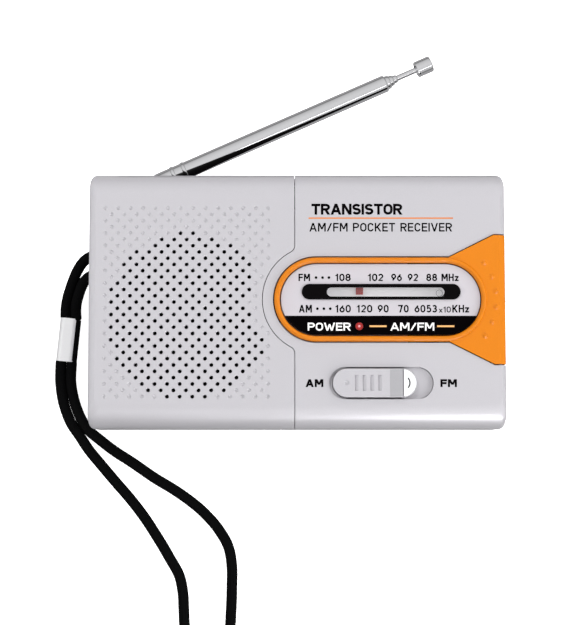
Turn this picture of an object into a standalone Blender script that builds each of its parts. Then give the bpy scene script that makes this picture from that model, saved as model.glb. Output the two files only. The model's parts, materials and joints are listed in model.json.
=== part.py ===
"""Transistor pocket radio with a telescopic aerial and a wrist strap, lying on its back.

Metres. +X points to the radio's right, +Y to its top edge and +Z out of its front face.
The origin is the middle of the flat back, which rests on z = 0.
"""

import math

import bmesh
import bpy
from mathutils import Matrix, Vector

# Case
BODY_WIDTH = 0.115
BODY_HEIGHT = 0.071
BODY_DEPTH = 0.024
PARTING_Z = 0.012
FACE_WALL = 0.0018
SIDE_WALL = 0.002
SHOULDER_RADIUS = 0.007
FRONT_EDGE_RADIUS = 0.0012
BACK_EDGE_RADIUS = 0.0025
CORNER_RADIUS = 0.0023
SEAM_GAP = 0.0003
HALF_WIDTH = BODY_WIDTH / 2
HALF_HEIGHT = BODY_HEIGHT / 2
INNER_HALF_WIDTH = HALF_WIDTH - SIDE_WALL
INNER_FACE_Z = BODY_DEPTH - FACE_WALL
BEYOND = 0.003

# Dial, centred on the middle of its round left end
DIAL_X = 0.00536
DIAL_Y = 0.0
DIAL_RIGHT_X = 0.04066
DIAL_OPENING_RADIUS = 0.01005
SURROUND_RADIUS = 0.0118
SURROUND_FLARE_X = 0.0419
SURROUND_WIDE_X = 0.0542
SURROUND_HALF_HEIGHT = 0.01795
SURROUND_TOP_Z = 0.0246
SURROUND_BED_Z = 0.023
SURROUND_SIDE = 0.001
SLOT_LEFT_X = 0.0082
SLOT_RIGHT_X = 0.0406
SLOT_Y = 0.00205
SLOT_HALF = 0.00125
LED_X = 0.0171
LED_Y = -0.0074
SEAM_X = -0.0006
SEAM_RADIUS = 0.0149
SEAM_FILLET = 0.002

# Speaker grille: staggered rows of holes inside a circle, clear of the dial's seam
GRILLE_X = -0.0294
GRILLE_Y = -0.0047
GRILLE_RADIUS = 0.02328
GRILLE_DIAL_CLEARANCE = 0.01863
GRILLE_FIRST_X = -0.05286
GRILLE_FIRST_Y = 0.02531
GRILLE_PITCH = 0.003453
GRILLE_ROW_STEP = 0.001734
GRILLE_ROWS = 31
GRILLE_COLUMNS = 14
GRILLE_HOLE_RADIUS = 0.00056

# Tuning drive
TUNING_X = 0.0464
TUNING_Y = 0.0
TUNING_WHEEL_RADIUS = 0.012
DRUM_RADIUS = 0.00775
PULLEY_X = 0.0026
PULLEY_RADIUS = 0.003
PULLEY_Y = TUNING_Y + DRUM_RADIUS - PULLEY_RADIUS
DIAL_CORD_Y = TUNING_Y + DRUM_RADIUS
DIAL_CORD_Z = 0.0183
DIAL_CORD_RADIUS = 0.00025
POINTER_X = 0.0173

# Volume
VOLUME_X = 0.0514
VOLUME_Y = -0.0262
VOLUME_WHEEL_RADIUS = 0.0068

# Both wheels
WHEEL_LOW_Z = 0.0132
WHEEL_HIGH_Z = 0.0172
WHEEL_SLOT_GAP = 0.00055
BOARD_LOW_Z = 0.0106
BOARD_HIGH_Z = 0.012

# Band switch
SWITCH_X = 0.0231
SWITCH_Y = -0.023
SWITCH_SLOT_LENGTH = 0.0286
SWITCH_SLOT_HEIGHT = 0.0088
SWITCH_BED_Z = 0.023
BUTTON_LEFT_X = 0.00975
BUTTON_RIGHT_X = 0.03275
BUTTON_HALF_HEIGHT = 0.00393
BUTTON_TOP_Z = 0.0252
STEM_LEFT_X = 0.017
STEM_RIGHT_X = 0.022
STEM_HALF = 0.0017
SWITCH_TRAVEL = 0.004

# Earphone socket, in the right side
JACK_Y = 0.0295
JACK_Z = 0.0155

# Power cells, side by side along Y
CELL_XS = (0.0046, 0.0204)
CELL_Z = 0.009
CELL_RADIUS = 0.0071
CELL_LENGTH = 0.0495
CELL_NUB_LENGTH = 0.001
CELL_NUB_RADIUS = 0.0027
BAY_LEFT_X = -0.0046
BAY_RIGHT_X = 0.0296
BAY_TOP_Y = 0.0242
BAY_BOTTOM_Y = -0.0328
BAY_ROOF_Z = 0.0164
BAY_ROOF_TOP_Z = 0.0172
BAY_WALL = 0.0011
DOOR_END_Y = -0.0338

# Speaker
SPEAKER_RADIUS = 0.025
SPEAKER_RIM_Z = 0.0219

# Aerial, hinged in a channel along the top of the back
AERIAL_X = -0.0479
AERIAL_Y = 0.032
AERIAL_Z = 0.0055
AERIAL_REST_DEG = 23.86
AERIAL_CHANNEL_HALF = 0.003
AERIAL_TUBE_END = 0.0808

# Wrist strap: a doubled cord through an eyelet in the left side
STRAP_RADIUS = 0.00145
STRAP_PIN_X = -0.0559
STRAP_PIN_Y = 0.0116
STRAP_PIN_RADIUS = 0.0008
FERRULE_TOP = Vector((-0.0649, -0.0035, 0.0022))
FERRULE_BOTTOM = Vector((-0.0661, -0.0159, 0.0022))
FERRULE_HALF_WIDTH = 0.003
FERRULE_HALF_THICKNESS = 0.0017
EYELET_ROUTE = (
    (-0.06645, -0.0029, 0.0022),
    (-0.06635, -0.0004, 0.0026),
    (-0.06585, 0.0022, 0.0033),
    (-0.06505, 0.0046, 0.0041),
    (-0.06410, 0.0071, 0.0049),
    (-0.06280, 0.0099, 0.0057),
    (-0.06110, 0.0124, 0.0062),
    (-0.05880, 0.0140, 0.0065),
    (-0.05610, 0.0142, 0.0065),
    (-0.05400, 0.0134, 0.0065),
    (-0.05325, 0.0116, 0.0065),
    (-0.05400, 0.0098, 0.0065),
    (-0.05610, 0.0090, 0.0065),
    (-0.05850, 0.0086, 0.0063),
    (-0.06040, 0.0073, 0.0059),
    (-0.06160, 0.0053, 0.0053),
    (-0.06248, 0.0031, 0.0045),
    (-0.06316, 0.0009, 0.0037),
    (-0.06345, -0.0012, 0.0028),
    (-0.06340, -0.0032, 0.0023),
)
HAND_LOOP_ROUTE = (
    (-0.0646, -0.0165, 0.0021),
    (-0.0648, -0.0216, 0.0016),
    (-0.0639, -0.0267, 0.0015),
    (-0.0621, -0.0316, 0.0015),
    (-0.0597, -0.0354, 0.0015),
    (-0.0563, -0.0383, 0.0015),
    (-0.0521, -0.0415, 0.0015),
    (-0.0468, -0.0449, 0.0015),
    (-0.0408, -0.0490, 0.0015),
    (-0.0345, -0.0528, 0.0015),
    (-0.0293, -0.0565, 0.0015),
    (-0.0255, -0.0599, 0.0015),
    (-0.0221, -0.0639, 0.0015),
    (-0.0194, -0.0687, 0.0015),
    (-0.0184, -0.0743, 0.0015),
    (-0.0184, -0.0808, 0.0015),
    (-0.0186, -0.0868, 0.0015),
    (-0.0191, -0.0923, 0.0015),
    (-0.0214, -0.0969, 0.0015),
    (-0.0255, -0.0987, 0.0015),
    (-0.0295, -0.0965, 0.0015),
    (-0.0316, -0.0918, 0.0015),
    (-0.0320, -0.0868, 0.0015),
    (-0.0323, -0.0817, 0.0015),
    (-0.0334, -0.0767, 0.0015),
    (-0.0359, -0.0722, 0.0015),
    (-0.0390, -0.0670, 0.0015),
    (-0.0432, -0.0606, 0.0015),
    (-0.0473, -0.0553, 0.0015),
    (-0.0516, -0.0504, 0.0015),
    (-0.0559, -0.0454, 0.0015),
    (-0.0594, -0.0412, 0.0015),
    (-0.0622, -0.0371, 0.0015),
    (-0.0649, -0.0330, 0.0015),
    (-0.0669, -0.0275, 0.0015),
    (-0.0678, -0.0217, 0.0016),
    (-0.0677, -0.0162, 0.0021),
)

# Fasteners
CASE_SCREWS = ((-0.05, 0.0235), (-0.0515, -0.028), (0.0515, 0.023), (0.0405, -0.028))
CASE_SCREW_RADIUS = 0.0012
SCREW_HEAD_RADIUS = 0.0023

SILVER = ((0.60, 0.61, 0.64), 0.38, 0.35)
ORANGE = ((0.85, 0.23, 0.02), 0.35, 0.0)
BLACK = ((0.012, 0.012, 0.014), 0.4, 0.0)
DARK_GREY = ((0.05, 0.05, 0.055), 0.5, 0.0)
WHITE = ((0.80, 0.80, 0.79), 0.4, 0.0)
CLEAR = ((0.9, 0.9, 0.9), 0.05, 0.0)
RED = ((0.55, 0.02, 0.02), 0.3, 0.0)
CHROME = ((0.8, 0.8, 0.82), 0.12, 1.0)
STEEL = ((0.45, 0.45, 0.47), 0.35, 1.0)
BRASS = ((0.72, 0.5, 0.2), 0.3, 1.0)
FERRITE = ((0.06, 0.055, 0.055), 0.7, 0.0)
COPPER = ((0.62, 0.25, 0.1), 0.35, 0.6)
GREEN_BOARD = ((0.02, 0.16, 0.07), 0.5, 0.0)
PAPER = ((0.08, 0.075, 0.07), 0.9, 0.0)
CELL_SLEEVE = ((0.05, 0.12, 0.3), 0.35, 0.2)
FABRIC = ((0.01, 0.01, 0.01), 0.9, 0.0)


def collection(name):
    """A new collection of this name in the scene."""
    made = bpy.data.collections.new(name)
    bpy.context.scene.collection.children.link(made)
    return made


def clear_scene():
    for obj in list(bpy.data.objects):
        bpy.data.objects.remove(obj, do_unlink=True)


# ---------------------------------------------------------------- making and joining solids


def finished(obj, finish):
    """Moves a solid to the radio's own collection, with a material of its own."""
    for home in list(obj.users_collection):
        home.objects.unlink(obj)
    PARTS.objects.link(obj)
    obj.hide_render = False
    obj.display_type = "TEXTURED"
    colour, roughness, metallic = finish
    material = bpy.data.materials.new(obj.name)
    material.use_nodes = True
    shader = material.node_tree.nodes["Principled BSDF"]
    shader.inputs["Base Color"].default_value = (*colour, 1)
    shader.inputs["Roughness"].default_value = roughness
    shader.inputs["Metallic"].default_value = metallic
    obj.data.materials.clear()
    obj.data.materials.append(material)
    return obj


def helper(name, data):
    """A new object that the render leaves out, until finished() makes it a part."""
    obj = bpy.data.objects.new(name, data)
    HELPERS.objects.link(obj)
    obj.hide_render = True
    obj.display_type = "WIRE"
    return obj


def from_bmesh(name, shape, smooth_angle=35):
    bmesh.ops.recalc_face_normals(shape, faces=shape.faces)
    mesh = bpy.data.meshes.new(name)
    shape.to_mesh(mesh)
    shape.free()
    mesh.shade_smooth()
    mesh.set_sharp_from_angle(angle=math.radians(smooth_angle))
    return helper(name, mesh)


def box(name, low, high):
    low, high = Vector(low), Vector(high)
    size = high - low
    shape = bmesh.new()
    matrix = Matrix.Translation((low + high) / 2) @ Matrix.Diagonal((*size, 1))
    bmesh.ops.create_cube(shape, size=1, matrix=matrix)
    return from_bmesh(name, shape)


def cylinder(name, radius, start, end, sides=16):
    """A cylinder from one point to another."""
    start, end = Vector(start), Vector(end)
    along = end - start
    matrix = Matrix.Translation((start + end) / 2) @ along.to_track_quat("Z", "Y").to_matrix().to_4x4()
    shape = bmesh.new()
    bmesh.ops.create_cone(
        shape,
        cap_ends=True,
        segments=sides,
        radius1=radius,
        radius2=radius,
        depth=along.length,
        matrix=matrix,
    )
    return from_bmesh(name, shape)


def upright(name, radius, x, y, low, high, sides=16):
    """A cylinder along Z."""
    return cylinder(name, radius, (x, y, low), (x, y, high), sides)


def turned(name, profile, at=(0, 0, 0), along=(0, 0, 1), sides=16, ring=False):
    """A turned solid: (radius, height) points, down the outer side, round a line through at.

    A ring's profile is closed; any other starts and ends on the axis.
    """
    mesh = bpy.data.meshes.new(name)
    count = len(profile)
    edges = [(index, index + 1) for index in range(count - 1)]
    if ring:
        edges.append((count - 1, 0))
    mesh.from_pydata([(radius, 0, height) for radius, height in profile], edges, [])
    obj = helper(name, mesh)
    obj.location = at
    obj.rotation_euler = Vector(along).to_track_quat("Z", "Y").to_euler()
    screw = obj.modifiers.new("turn", "SCREW")
    screw.steps = screw.render_steps = sides
    screw.use_merge_vertices = True
    screw.merge_threshold = 1e-6
    screw.use_smooth_shade = True
    return obj


def plate(name, outlines, low, high):
    """A flat piece between two heights: its outline, then the outlines of its holes."""
    curve = bpy.data.curves.new(name, "CURVE")
    curve.dimensions = "2D"
    curve.fill_mode = "BOTH"
    curve.extrude = (high - low) / 2
    for outline in outlines:
        spline = curve.splines.new("POLY")
        spline.points.add(len(outline) - 1)
        for point, (x, y) in zip(spline.points, outline):
            point.co = (x, y, 0, 1)
        spline.use_cyclic_u = True
    drawn = helper(name + "_outline", curve)
    drawn.location.z = (low + high) / 2
    bpy.context.view_layer.update()
    mesh = bpy.data.meshes.new_from_object(drawn.evaluated_get(bpy.context.evaluated_depsgraph_get()))
    shape = bmesh.new()
    shape.from_mesh(mesh)
    shape.transform(drawn.matrix_world)
    bmesh.ops.remove_doubles(shape, verts=shape.verts, dist=1e-6)
    bpy.data.objects.remove(drawn)
    return from_bmesh(name, shape)


def tube(name, points, radius, cyclic=False, resolution=2):
    """A round bar along the given points."""
    curve = bpy.data.curves.new(name, "CURVE")
    curve.dimensions = "3D"
    curve.bevel_depth = radius
    curve.bevel_resolution = resolution
    curve.use_fill_caps = True
    spline = curve.splines.new("POLY")
    spline.points.add(len(points) - 1)
    for point, place in zip(spline.points, points):
        point.co = (*place, 1)
    spline.use_cyclic_u = cyclic
    return helper(name, curve)


def loft(name, rings):
    """A closed solid through rings of equal numbers of points, with flat ends."""
    shape = bmesh.new()
    rows = [[shape.verts.new(point) for point in ring] for ring in rings]
    for row, following in zip(rows, rows[1:]):
        for index, corner in enumerate(row):
            after = (index + 1) % len(row)
            shape.faces.new((corner, row[after], following[after], following[index]))
    shape.faces.new(rows[0])
    shape.faces.new(rows[-1])
    return from_bmesh(name, shape)


def boolean(target, operation, others):
    for other in others:
        modifier = target.modifiers.new(other.name, "BOOLEAN")
        modifier.operation = operation
        modifier.object = other
    return target


def cut(target, *cutters):
    return boolean(target, "DIFFERENCE", cutters)


def add(target, *others):
    return boolean(target, "UNION", others)


def common(target, *others):
    return boolean(target, "INTERSECT", others)


def hang(pivot_name, place, pieces):
    """Parents the moving pieces to an empty on their joint's axis, leaving them where they are."""
    pivot = bpy.data.objects.new(pivot_name, None)
    PARTS.objects.link(pivot)
    pivot.location = place
    for piece in pieces:
        piece.parent = pivot
        piece.matrix_parent_inverse = Matrix.Translation(place).inverted()


# ---------------------------------------------------------------- outlines


def arc(x, y, radius, start_deg, end_deg, steps):
    """Points along an arc, its two ends included."""
    angles = (math.radians(start_deg + (end_deg - start_deg) * step / steps) for step in range(steps + 1))
    return [(x + radius * math.cos(angle), y + radius * math.sin(angle)) for angle in angles]


def pill(left, right, middle_y, radius, steps=12):
    """A flat outline with round ends, between the x of its two ends."""
    right_end = arc(right - radius, middle_y, radius, -90, 90, steps)
    return right_end + arc(left + radius, middle_y, radius, 90, 270, steps)


def circle(x, y, radius, sides=12):
    return arc(x, y, radius, 0, 360, sides)[:-1]


def rounded_rectangle(half_width, half_height, radius, steps=3):
    x, y = half_width - radius, half_height - radius
    corners = ((x, y, 0), (-x, y, 90), (-x, -y, 180), (x, -y, 270))
    return [point for cx, cy, turn in corners for point in arc(cx, cy, radius, turn, turn + 90, steps)]


def seam(shift):
    """The seam between speaker panel and front case, from above the top edge to below the bottom one.

    It runs straight down, swings out round the dial on small fillets, and is moved left by shift.
    """
    fillet_x = SEAM_X - SEAM_FILLET
    reach = DIAL_X - fillet_x
    rise = math.sqrt((SEAM_RADIUS + SEAM_FILLET) ** 2 - reach**2)
    turn = math.degrees(math.atan2(rise, reach))
    fillet = SEAM_FILLET - shift
    points = [(SEAM_X - shift, BODY_HEIGHT)]
    points += arc(fillet_x, DIAL_Y + rise, fillet, 0, -turn, 3)
    points += arc(DIAL_X, DIAL_Y, SEAM_RADIUS + shift, 180 - turn, 180 + turn, 18)
    points += arc(fillet_x, DIAL_Y - rise, fillet, turn, 0, 3)
    points.append((SEAM_X - shift, -BODY_HEIGHT))
    return points


def surround_outline(grow):
    """The orange surround seen from the front, grown by a clearance, and past the right-hand side."""
    near, far = SURROUND_RADIUS + grow, SURROUND_HALF_HEIGHT + grow
    points = arc(DIAL_X, DIAL_Y, near, 90, 270, 20)
    flare = [(SURROUND_FLARE_X, -near), (SURROUND_WIDE_X, -far), (BODY_WIDTH, -far)]
    flare += [(x, -y) for x, y in reversed(flare)]
    points += [(x, DIAL_Y + y) for x, y in flare]
    return points


def grille_places():
    """Centres of the holes in the speaker grille."""
    places = []
    for row in range(GRILLE_ROWS):
        odd = row % 2
        y = GRILLE_FIRST_Y - row * GRILLE_ROW_STEP
        for column in range(GRILLE_COLUMNS - odd):
            x = GRILLE_FIRST_X + (column + odd / 2) * GRILLE_PITCH
            in_circle = math.hypot(x - GRILLE_X, y - GRILLE_Y) <= GRILLE_RADIUS
            if in_circle and math.hypot(x - DIAL_X, y - DIAL_Y) >= GRILLE_DIAL_CLEARANCE:
                places.append((x, y))
    return places


def smooth_route(route, spacing):
    """Evenly spaced points on a smooth curve through the route's own points."""
    fine = []
    guides = [2 * Vector(route[0]) - Vector(route[1]), *map(Vector, route)]
    guides.append(2 * Vector(route[-1]) - Vector(route[-2]))
    for before, start, end, after in zip(guides, guides[1:], guides[2:], guides[3:]):
        for step in range(16):
            t = step / 16
            straight = 2 * start + t * (end - before)
            bent = t * t * (2 * before - 5 * start + 4 * end - after)
            fine.append((straight + bent + t**3 * (3 * start - before - 3 * end + after)) / 2)
    fine.append(guides[-2])
    lengths = [(b - a).length for a, b in zip(fine, fine[1:])]
    count = max(2, round(sum(lengths) / spacing))
    points, travelled, index = [fine[0]], 0.0, 0
    for number in range(1, count):
        wanted = sum(lengths) * number / count
        while travelled + lengths[index] < wanted:
            travelled += lengths[index]
            index += 1
        points.append(fine[index].lerp(fine[index + 1], (wanted - travelled) / lengths[index]))
    points.append(fine[-1])
    return points


# ---------------------------------------------------------------- case


def front_ring(inset, side_inset, angle_deg):
    """A section of the front shell's skin, at this angle up its rounded shoulder."""
    angle = math.radians(angle_deg)
    radius = SHOULDER_RADIUS - inset
    edge = max(FRONT_EDGE_RADIUS - inset, 0.0002)
    z = BODY_DEPTH - SHOULDER_RADIUS + radius * math.sin(angle)
    over = max(0.0, z - (BODY_DEPTH - inset - edge))
    half_width = HALF_WIDTH - side_inset - edge + math.sqrt(edge**2 - over**2)
    half_height = HALF_HEIGHT - SHOULDER_RADIUS + radius * math.cos(angle)
    corner = CORNER_RADIUS - min(side_inset, 0.0018)
    return [(x, y, z) for x, y in rounded_rectangle(half_width, half_height, corner)]


def front_shell(name):
    """The whole front tray, before it is parted at the seam."""
    rim_z = PARTING_Z + SEAM_GAP / 2
    outer = [front_ring(0, 0, angle) for angle in (0, 22.5, 45, 67.5, 90)]
    inner = [front_ring(FACE_WALL, SIDE_WALL, angle) for angle in (90, 60, 30, 0)]
    inner_rim = [(x, y, rim_z) for x, y, _ in inner[-1]]
    outer_rim = [(x, y, rim_z) for x, y, _ in outer[0]]
    return loft(name, [*inner, inner_rim, outer_rim, *outer])


def back_shell(name):
    rim_z = PARTING_Z - SEAM_GAP / 2

    def ring(inset, side_inset, radius, angle_deg):
        angle = math.radians(angle_deg)
        pull = radius * (1 - math.cos(angle))
        z = inset + radius * (1 - math.sin(angle))
        corner = CORNER_RADIUS - min(side_inset, 0.0018)
        outline = rounded_rectangle(HALF_WIDTH - side_inset - pull, HALF_HEIGHT - inset - pull, corner)
        return [(x, y, z) for x, y in outline]

    outer = [ring(0, 0, BACK_EDGE_RADIUS, angle) for angle in (0, 30, 60, 90)]
    inner = [ring(FACE_WALL, SIDE_WALL, BACK_EDGE_RADIUS - FACE_WALL, angle) for angle in (90, 0)]
    inner_rim = [(x, y, rim_z) for x, y, _ in inner[-1]]
    outer_rim = [(x, y, rim_z) for x, y, _ in outer[0]]
    return loft(name, [*inner, inner_rim, outer_rim, *outer])


def front_screw_bosses(target, places):
    """Pillars inside the front shell that take the case screws."""
    for number, (x, y) in enumerate(places):
        low = PARTING_Z + SEAM_GAP / 2 + 0.0002
        pillar = upright(f"{target.name}_boss_{number}", 0.0029, x, y, low, INNER_FACE_Z + 0.0006, 12)
        hole = upright(f"{target.name}_boss_hole_{number}", 0.00145, x, y, low - BEYOND, 0.0205, 10)
        add(target, pillar)
        cut(target, hole)


def wheel_window(name, x, y, radius):
    """A slot through the right-hand wall for a thumbwheel's rim."""
    half = math.sqrt(radius**2 - (INNER_HALF_WIDTH - x) ** 2) + 0.0007
    low, high = WHEEL_LOW_Z - WHEEL_SLOT_GAP, WHEEL_HIGH_Z + WHEEL_SLOT_GAP
    return box(name, (INNER_HALF_WIDTH - 0.001, y - half, low), (HALF_WIDTH + BEYOND, y + half, high))


def make_speaker_panel():
    panel = front_shell("speaker_panel")
    right_side = [(BODY_WIDTH, -BODY_HEIGHT), (BODY_WIDTH, BODY_HEIGHT)]
    cut(panel, plate("right_of_seam", [seam(SEAM_GAP / 2) + right_side], 0, BODY_WIDTH))
    front_screw_bosses(panel, CASE_SCREWS[:2])
    holes = bmesh.new()
    for x, y in grille_places():
        bmesh.ops.create_cone(
            holes,
            cap_ends=True,
            segments=6,
            radius1=GRILLE_HOLE_RADIUS,
            radius2=GRILLE_HOLE_RADIUS,
            depth=2 * BEYOND,
            matrix=Matrix.Translation((x, y, BODY_DEPTH - FACE_WALL / 2)),
        )
    cut(panel, from_bmesh("grille_holes", holes))
    return finished(panel, SILVER)


def make_front_case():
    case = front_shell("front_case")
    left_side = [(-BODY_WIDTH, -BODY_HEIGHT), (-BODY_WIDTH, BODY_HEIGHT)]
    cut(case, plate("left_of_seam", [seam(-SEAM_GAP / 2) + left_side], 0, BODY_WIDTH))
    surround_bed = plate("surround_bed", [surround_outline(0)], 0, BODY_WIDTH)
    under = (HALF_WIDTH - SURROUND_SIDE, HALF_HEIGHT, SURROUND_BED_Z)
    cut(surround_bed, box("surround_underlay", (-HALF_WIDTH, -HALF_HEIGHT, -BODY_DEPTH), under))
    cut(case, surround_bed)
    margin = 0.001
    window = pill(SLOT_LEFT_X - margin, SLOT_RIGHT_X + margin, SLOT_Y, SLOT_HALF + 0.0007)
    cut(case, plate("dial_window", [window], INNER_FACE_Z - BEYOND, BODY_DEPTH + BEYOND))
    cut(case, upright("led_hole", 0.0012, LED_X, LED_Y, INNER_FACE_Z - BEYOND, BODY_DEPTH + BEYOND, 12))
    half = SWITCH_SLOT_LENGTH / 2
    bed = pill(SWITCH_X - half, SWITCH_X + half, SWITCH_Y, SWITCH_SLOT_HEIGHT / 2)
    cut(case, plate("switch_bed", [bed], SWITCH_BED_Z, BODY_DEPTH + BEYOND))
    stem_low = (STEM_LEFT_X - 0.0006, SWITCH_Y - STEM_HALF - 0.0004, INNER_FACE_Z - BEYOND)
    stem_high = (STEM_RIGHT_X + SWITCH_TRAVEL + 0.0006, SWITCH_Y + STEM_HALF + 0.0004, BODY_DEPTH)
    cut(case, box("stem_slot", stem_low, stem_high))
    cut(case, wheel_window("tuning_window", TUNING_X, TUNING_Y, TUNING_WHEEL_RADIUS))
    cut(case, wheel_window("volume_window", VOLUME_X, VOLUME_Y, VOLUME_WHEEL_RADIUS))
    jack_end = (HALF_WIDTH + BEYOND, JACK_Y, JACK_Z)
    cut(case, cylinder("jack_hole", 0.0033, (INNER_HALF_WIDTH - 0.001, JACK_Y, JACK_Z), jack_end))
    front_screw_bosses(case, CASE_SCREWS[2:])
    add(case, upright("pulley_pin", 0.0009, PULLEY_X, PULLEY_Y, 0.0174, INNER_FACE_Z + 0.0006, 10))
    return finished(case, SILVER)


def make_dial_surround():
    """The orange frame of the dial, which wraps round the right-hand side."""
    gap = SEAM_GAP / 2
    low_z, top_z = PARTING_Z + gap, SURROUND_TOP_Z
    steps = [(0, low_z), (0, top_z - 0.0012), (0.00016, top_z - 0.0006)]
    steps += [(0.0006, top_z - 0.00016), (0.0012, top_z)]
    rings = []
    for pull, z in steps:
        outline = rounded_rectangle(HALF_WIDTH - pull, 0.03, CORNER_RADIUS, 1)
        rings.append([(x, y, z) for x, y in outline])
    surround = loft("dial_surround", rings)
    common(surround, plate("surround_shape", [surround_outline(-gap)], 0, BODY_WIDTH))
    under = (HALF_WIDTH - SURROUND_SIDE + gap, HALF_HEIGHT, SURROUND_BED_Z + gap)
    cut(surround, box("surround_hollow", (-HALF_WIDTH, -HALF_HEIGHT, -BODY_DEPTH), under))
    opening_left, opening_right = DIAL_X - DIAL_OPENING_RADIUS, DIAL_RIGHT_X + DIAL_OPENING_RADIUS
    opening = pill(opening_left, opening_right, DIAL_Y, DIAL_OPENING_RADIUS, 20)
    cut(surround, plate("dial_opening", [opening], 0, BODY_WIDTH))
    cut(surround, wheel_window("surround_window", TUNING_X, TUNING_Y, TUNING_WHEEL_RADIUS))
    for number, angle in enumerate((-35.5, -21.3, -7.1, 7.1, 21.3, 35.5)):
        (x, y), *_ = arc(0.0375, DIAL_Y, 0.0173, angle, angle, 1)
        bump = [(0, 0.0006), (0.0004, 0.0005), (0.0007, 0), (0.0007, -0.0006), (0, -0.0006)]
        add(surround, turned(f"bump_{number}", bump, (x, y, SURROUND_TOP_Z), sides=8))
    return finished(surround, ORANGE)


def make_back_case():
    back = back_shell("back_case")
    channel_back_y = AERIAL_Y - AERIAL_CHANNEL_HALF
    block_low = (-HALF_WIDTH + 0.001, channel_back_y - 0.0011, 0.0014)
    add(back, box("aerial_block", block_low, (0.052, HALF_HEIGHT - 0.0009, 0.01)))
    add(back, box("eyelet_block", (-0.057, 0.0059, 0.001), (-0.0502, 0.0174, 0.0116)))
    bay_low = (BAY_LEFT_X - BAY_WALL, BAY_BOTTOM_Y - 0.0006, 0.001)
    add(back, box("bay_walls", bay_low, (BAY_RIGHT_X + BAY_WALL, BAY_TOP_Y + BAY_WALL, BAY_ROOF_TOP_Z)))
    for number, (x, y) in enumerate(CASE_SCREWS):
        add(back, upright(f"back_boss_{number}", 0.0032, x, y, 0.001, 0.0117, 12))
    for number, y in enumerate((-0.02, 0.02)):
        add(back, upright(f"board_post_{number}", 0.0015, 0.036, y, 0.001, BOARD_LOW_Z - SEAM_GAP, 10))
    cut(back, box("bay", (BAY_LEFT_X, BAY_BOTTOM_Y, FACE_WALL), (BAY_RIGHT_X, BAY_TOP_Y, BAY_ROOF_Z)))
    cut(back, box("door_opening", (-0.003, -0.03, -BEYOND), (0.028, 0.023, 0.004)))
    cut(back, box("door_rail_way", (BAY_LEFT_X, -0.04, FACE_WALL), (BAY_RIGHT_X, -0.03, 0.0034)))
    cut(back, box("door_mouth", (-0.003, -0.04, -BEYOND), (0.028, -0.029, 0.0034)))
    cut(back, box("door_end_bed", (BAY_LEFT_X, -0.04, -BEYOND), (BAY_RIGHT_X, DOOR_END_Y + 0.0002, 0.009)))
    low, high = AERIAL_Z - AERIAL_CHANNEL_HALF, AERIAL_Z + AERIAL_CHANNEL_HALF
    cut(back, box("aerial_channel", (-0.053, channel_back_y, low), (0.05, 0.04, high)))
    cut(back, upright("pivot_hole", 0.0011, AERIAL_X, AERIAL_Y, 0.001, 0.012, 12))
    cut(back, box("eyelet", (-0.06, 0.0072, 0.0026), (-0.0515, 0.016, 0.0104)))
    cut(back, upright("strap_pin_hole", 0.0011, STRAP_PIN_X, STRAP_PIN_Y, 0.0012, 0.013, 12))
    for number, (x, y) in enumerate(CASE_SCREWS):
        cut(back, upright(f"screw_hole_{number}", 0.0015, x, y, -0.001, 0.0125, 12))
        cut(back, upright(f"screw_seat_{number}", 0.0027, x, y, -BEYOND, 0.0021, 12))
    return finished(back, SILVER)


def make_battery_door():
    """The sliding cover: a flanged plate that runs on the back's rails, with a turned-up end."""
    left, right = -0.0027, 0.0277
    skin, rib, flange = 0.0015, 0.0012, 0.0015
    low, high = 0.0021, 0.003
    half = [(left, 0), (left, low), (left - flange, low), (left - flange, high)]
    half += [(left + rib, high), (left + rib, skin)]
    middle = (left + right) / 2
    section = half + [(2 * middle - x, z) for x, z in reversed(half)]
    rings = [[(x, y, z) for x, z in section] for y in (-0.0345, 0.0227)]
    door = loft("battery_door", rings)
    end_low = (BAY_LEFT_X + 0.0003, -0.04, -BEYOND)
    end_high = (BAY_RIGHT_X - 0.0003, DOOR_END_Y - 0.0001, 0.0087)
    end = back_block("door_end")
    common(end, box("door_end_limits", end_low, end_high))
    return finished(add(door, end), SILVER)


def back_block(name):
    """The back's outer form as a solid block."""
    rings = []
    for angle in (0, 30, 60, 90):
        pull = BACK_EDGE_RADIUS * (1 - math.cos(math.radians(angle)))
        z = BACK_EDGE_RADIUS * (1 - math.sin(math.radians(angle)))
        outline = rounded_rectangle(HALF_WIDTH - pull, HALF_HEIGHT - pull, CORNER_RADIUS)
        rings.append([(x, y, z) for x, y in outline])
    rim = [(x, y, PARTING_Z) for x, y, _ in rings[0]]
    return loft(name, [rim, *rings])


def make_case_screws():
    """Four self-tapping screws, which share one mesh."""
    profile = [(0, 0.0185), (0.0006, 0.0182), (CASE_SCREW_RADIUS, 0.0165), (CASE_SCREW_RADIUS, 0.0018)]
    profile += [(SCREW_HEAD_RADIUS, 0.0018), (SCREW_HEAD_RADIUS, 0.0008), (0.0019, 0.0005), (0, 0.0005)]
    for number, (x, y) in enumerate(CASE_SCREWS, 1):
        finished(turned(f"case_screw_{number}", profile, (x, y, 0), sides=10), STEEL)


# ---------------------------------------------------------------- dial


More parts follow.
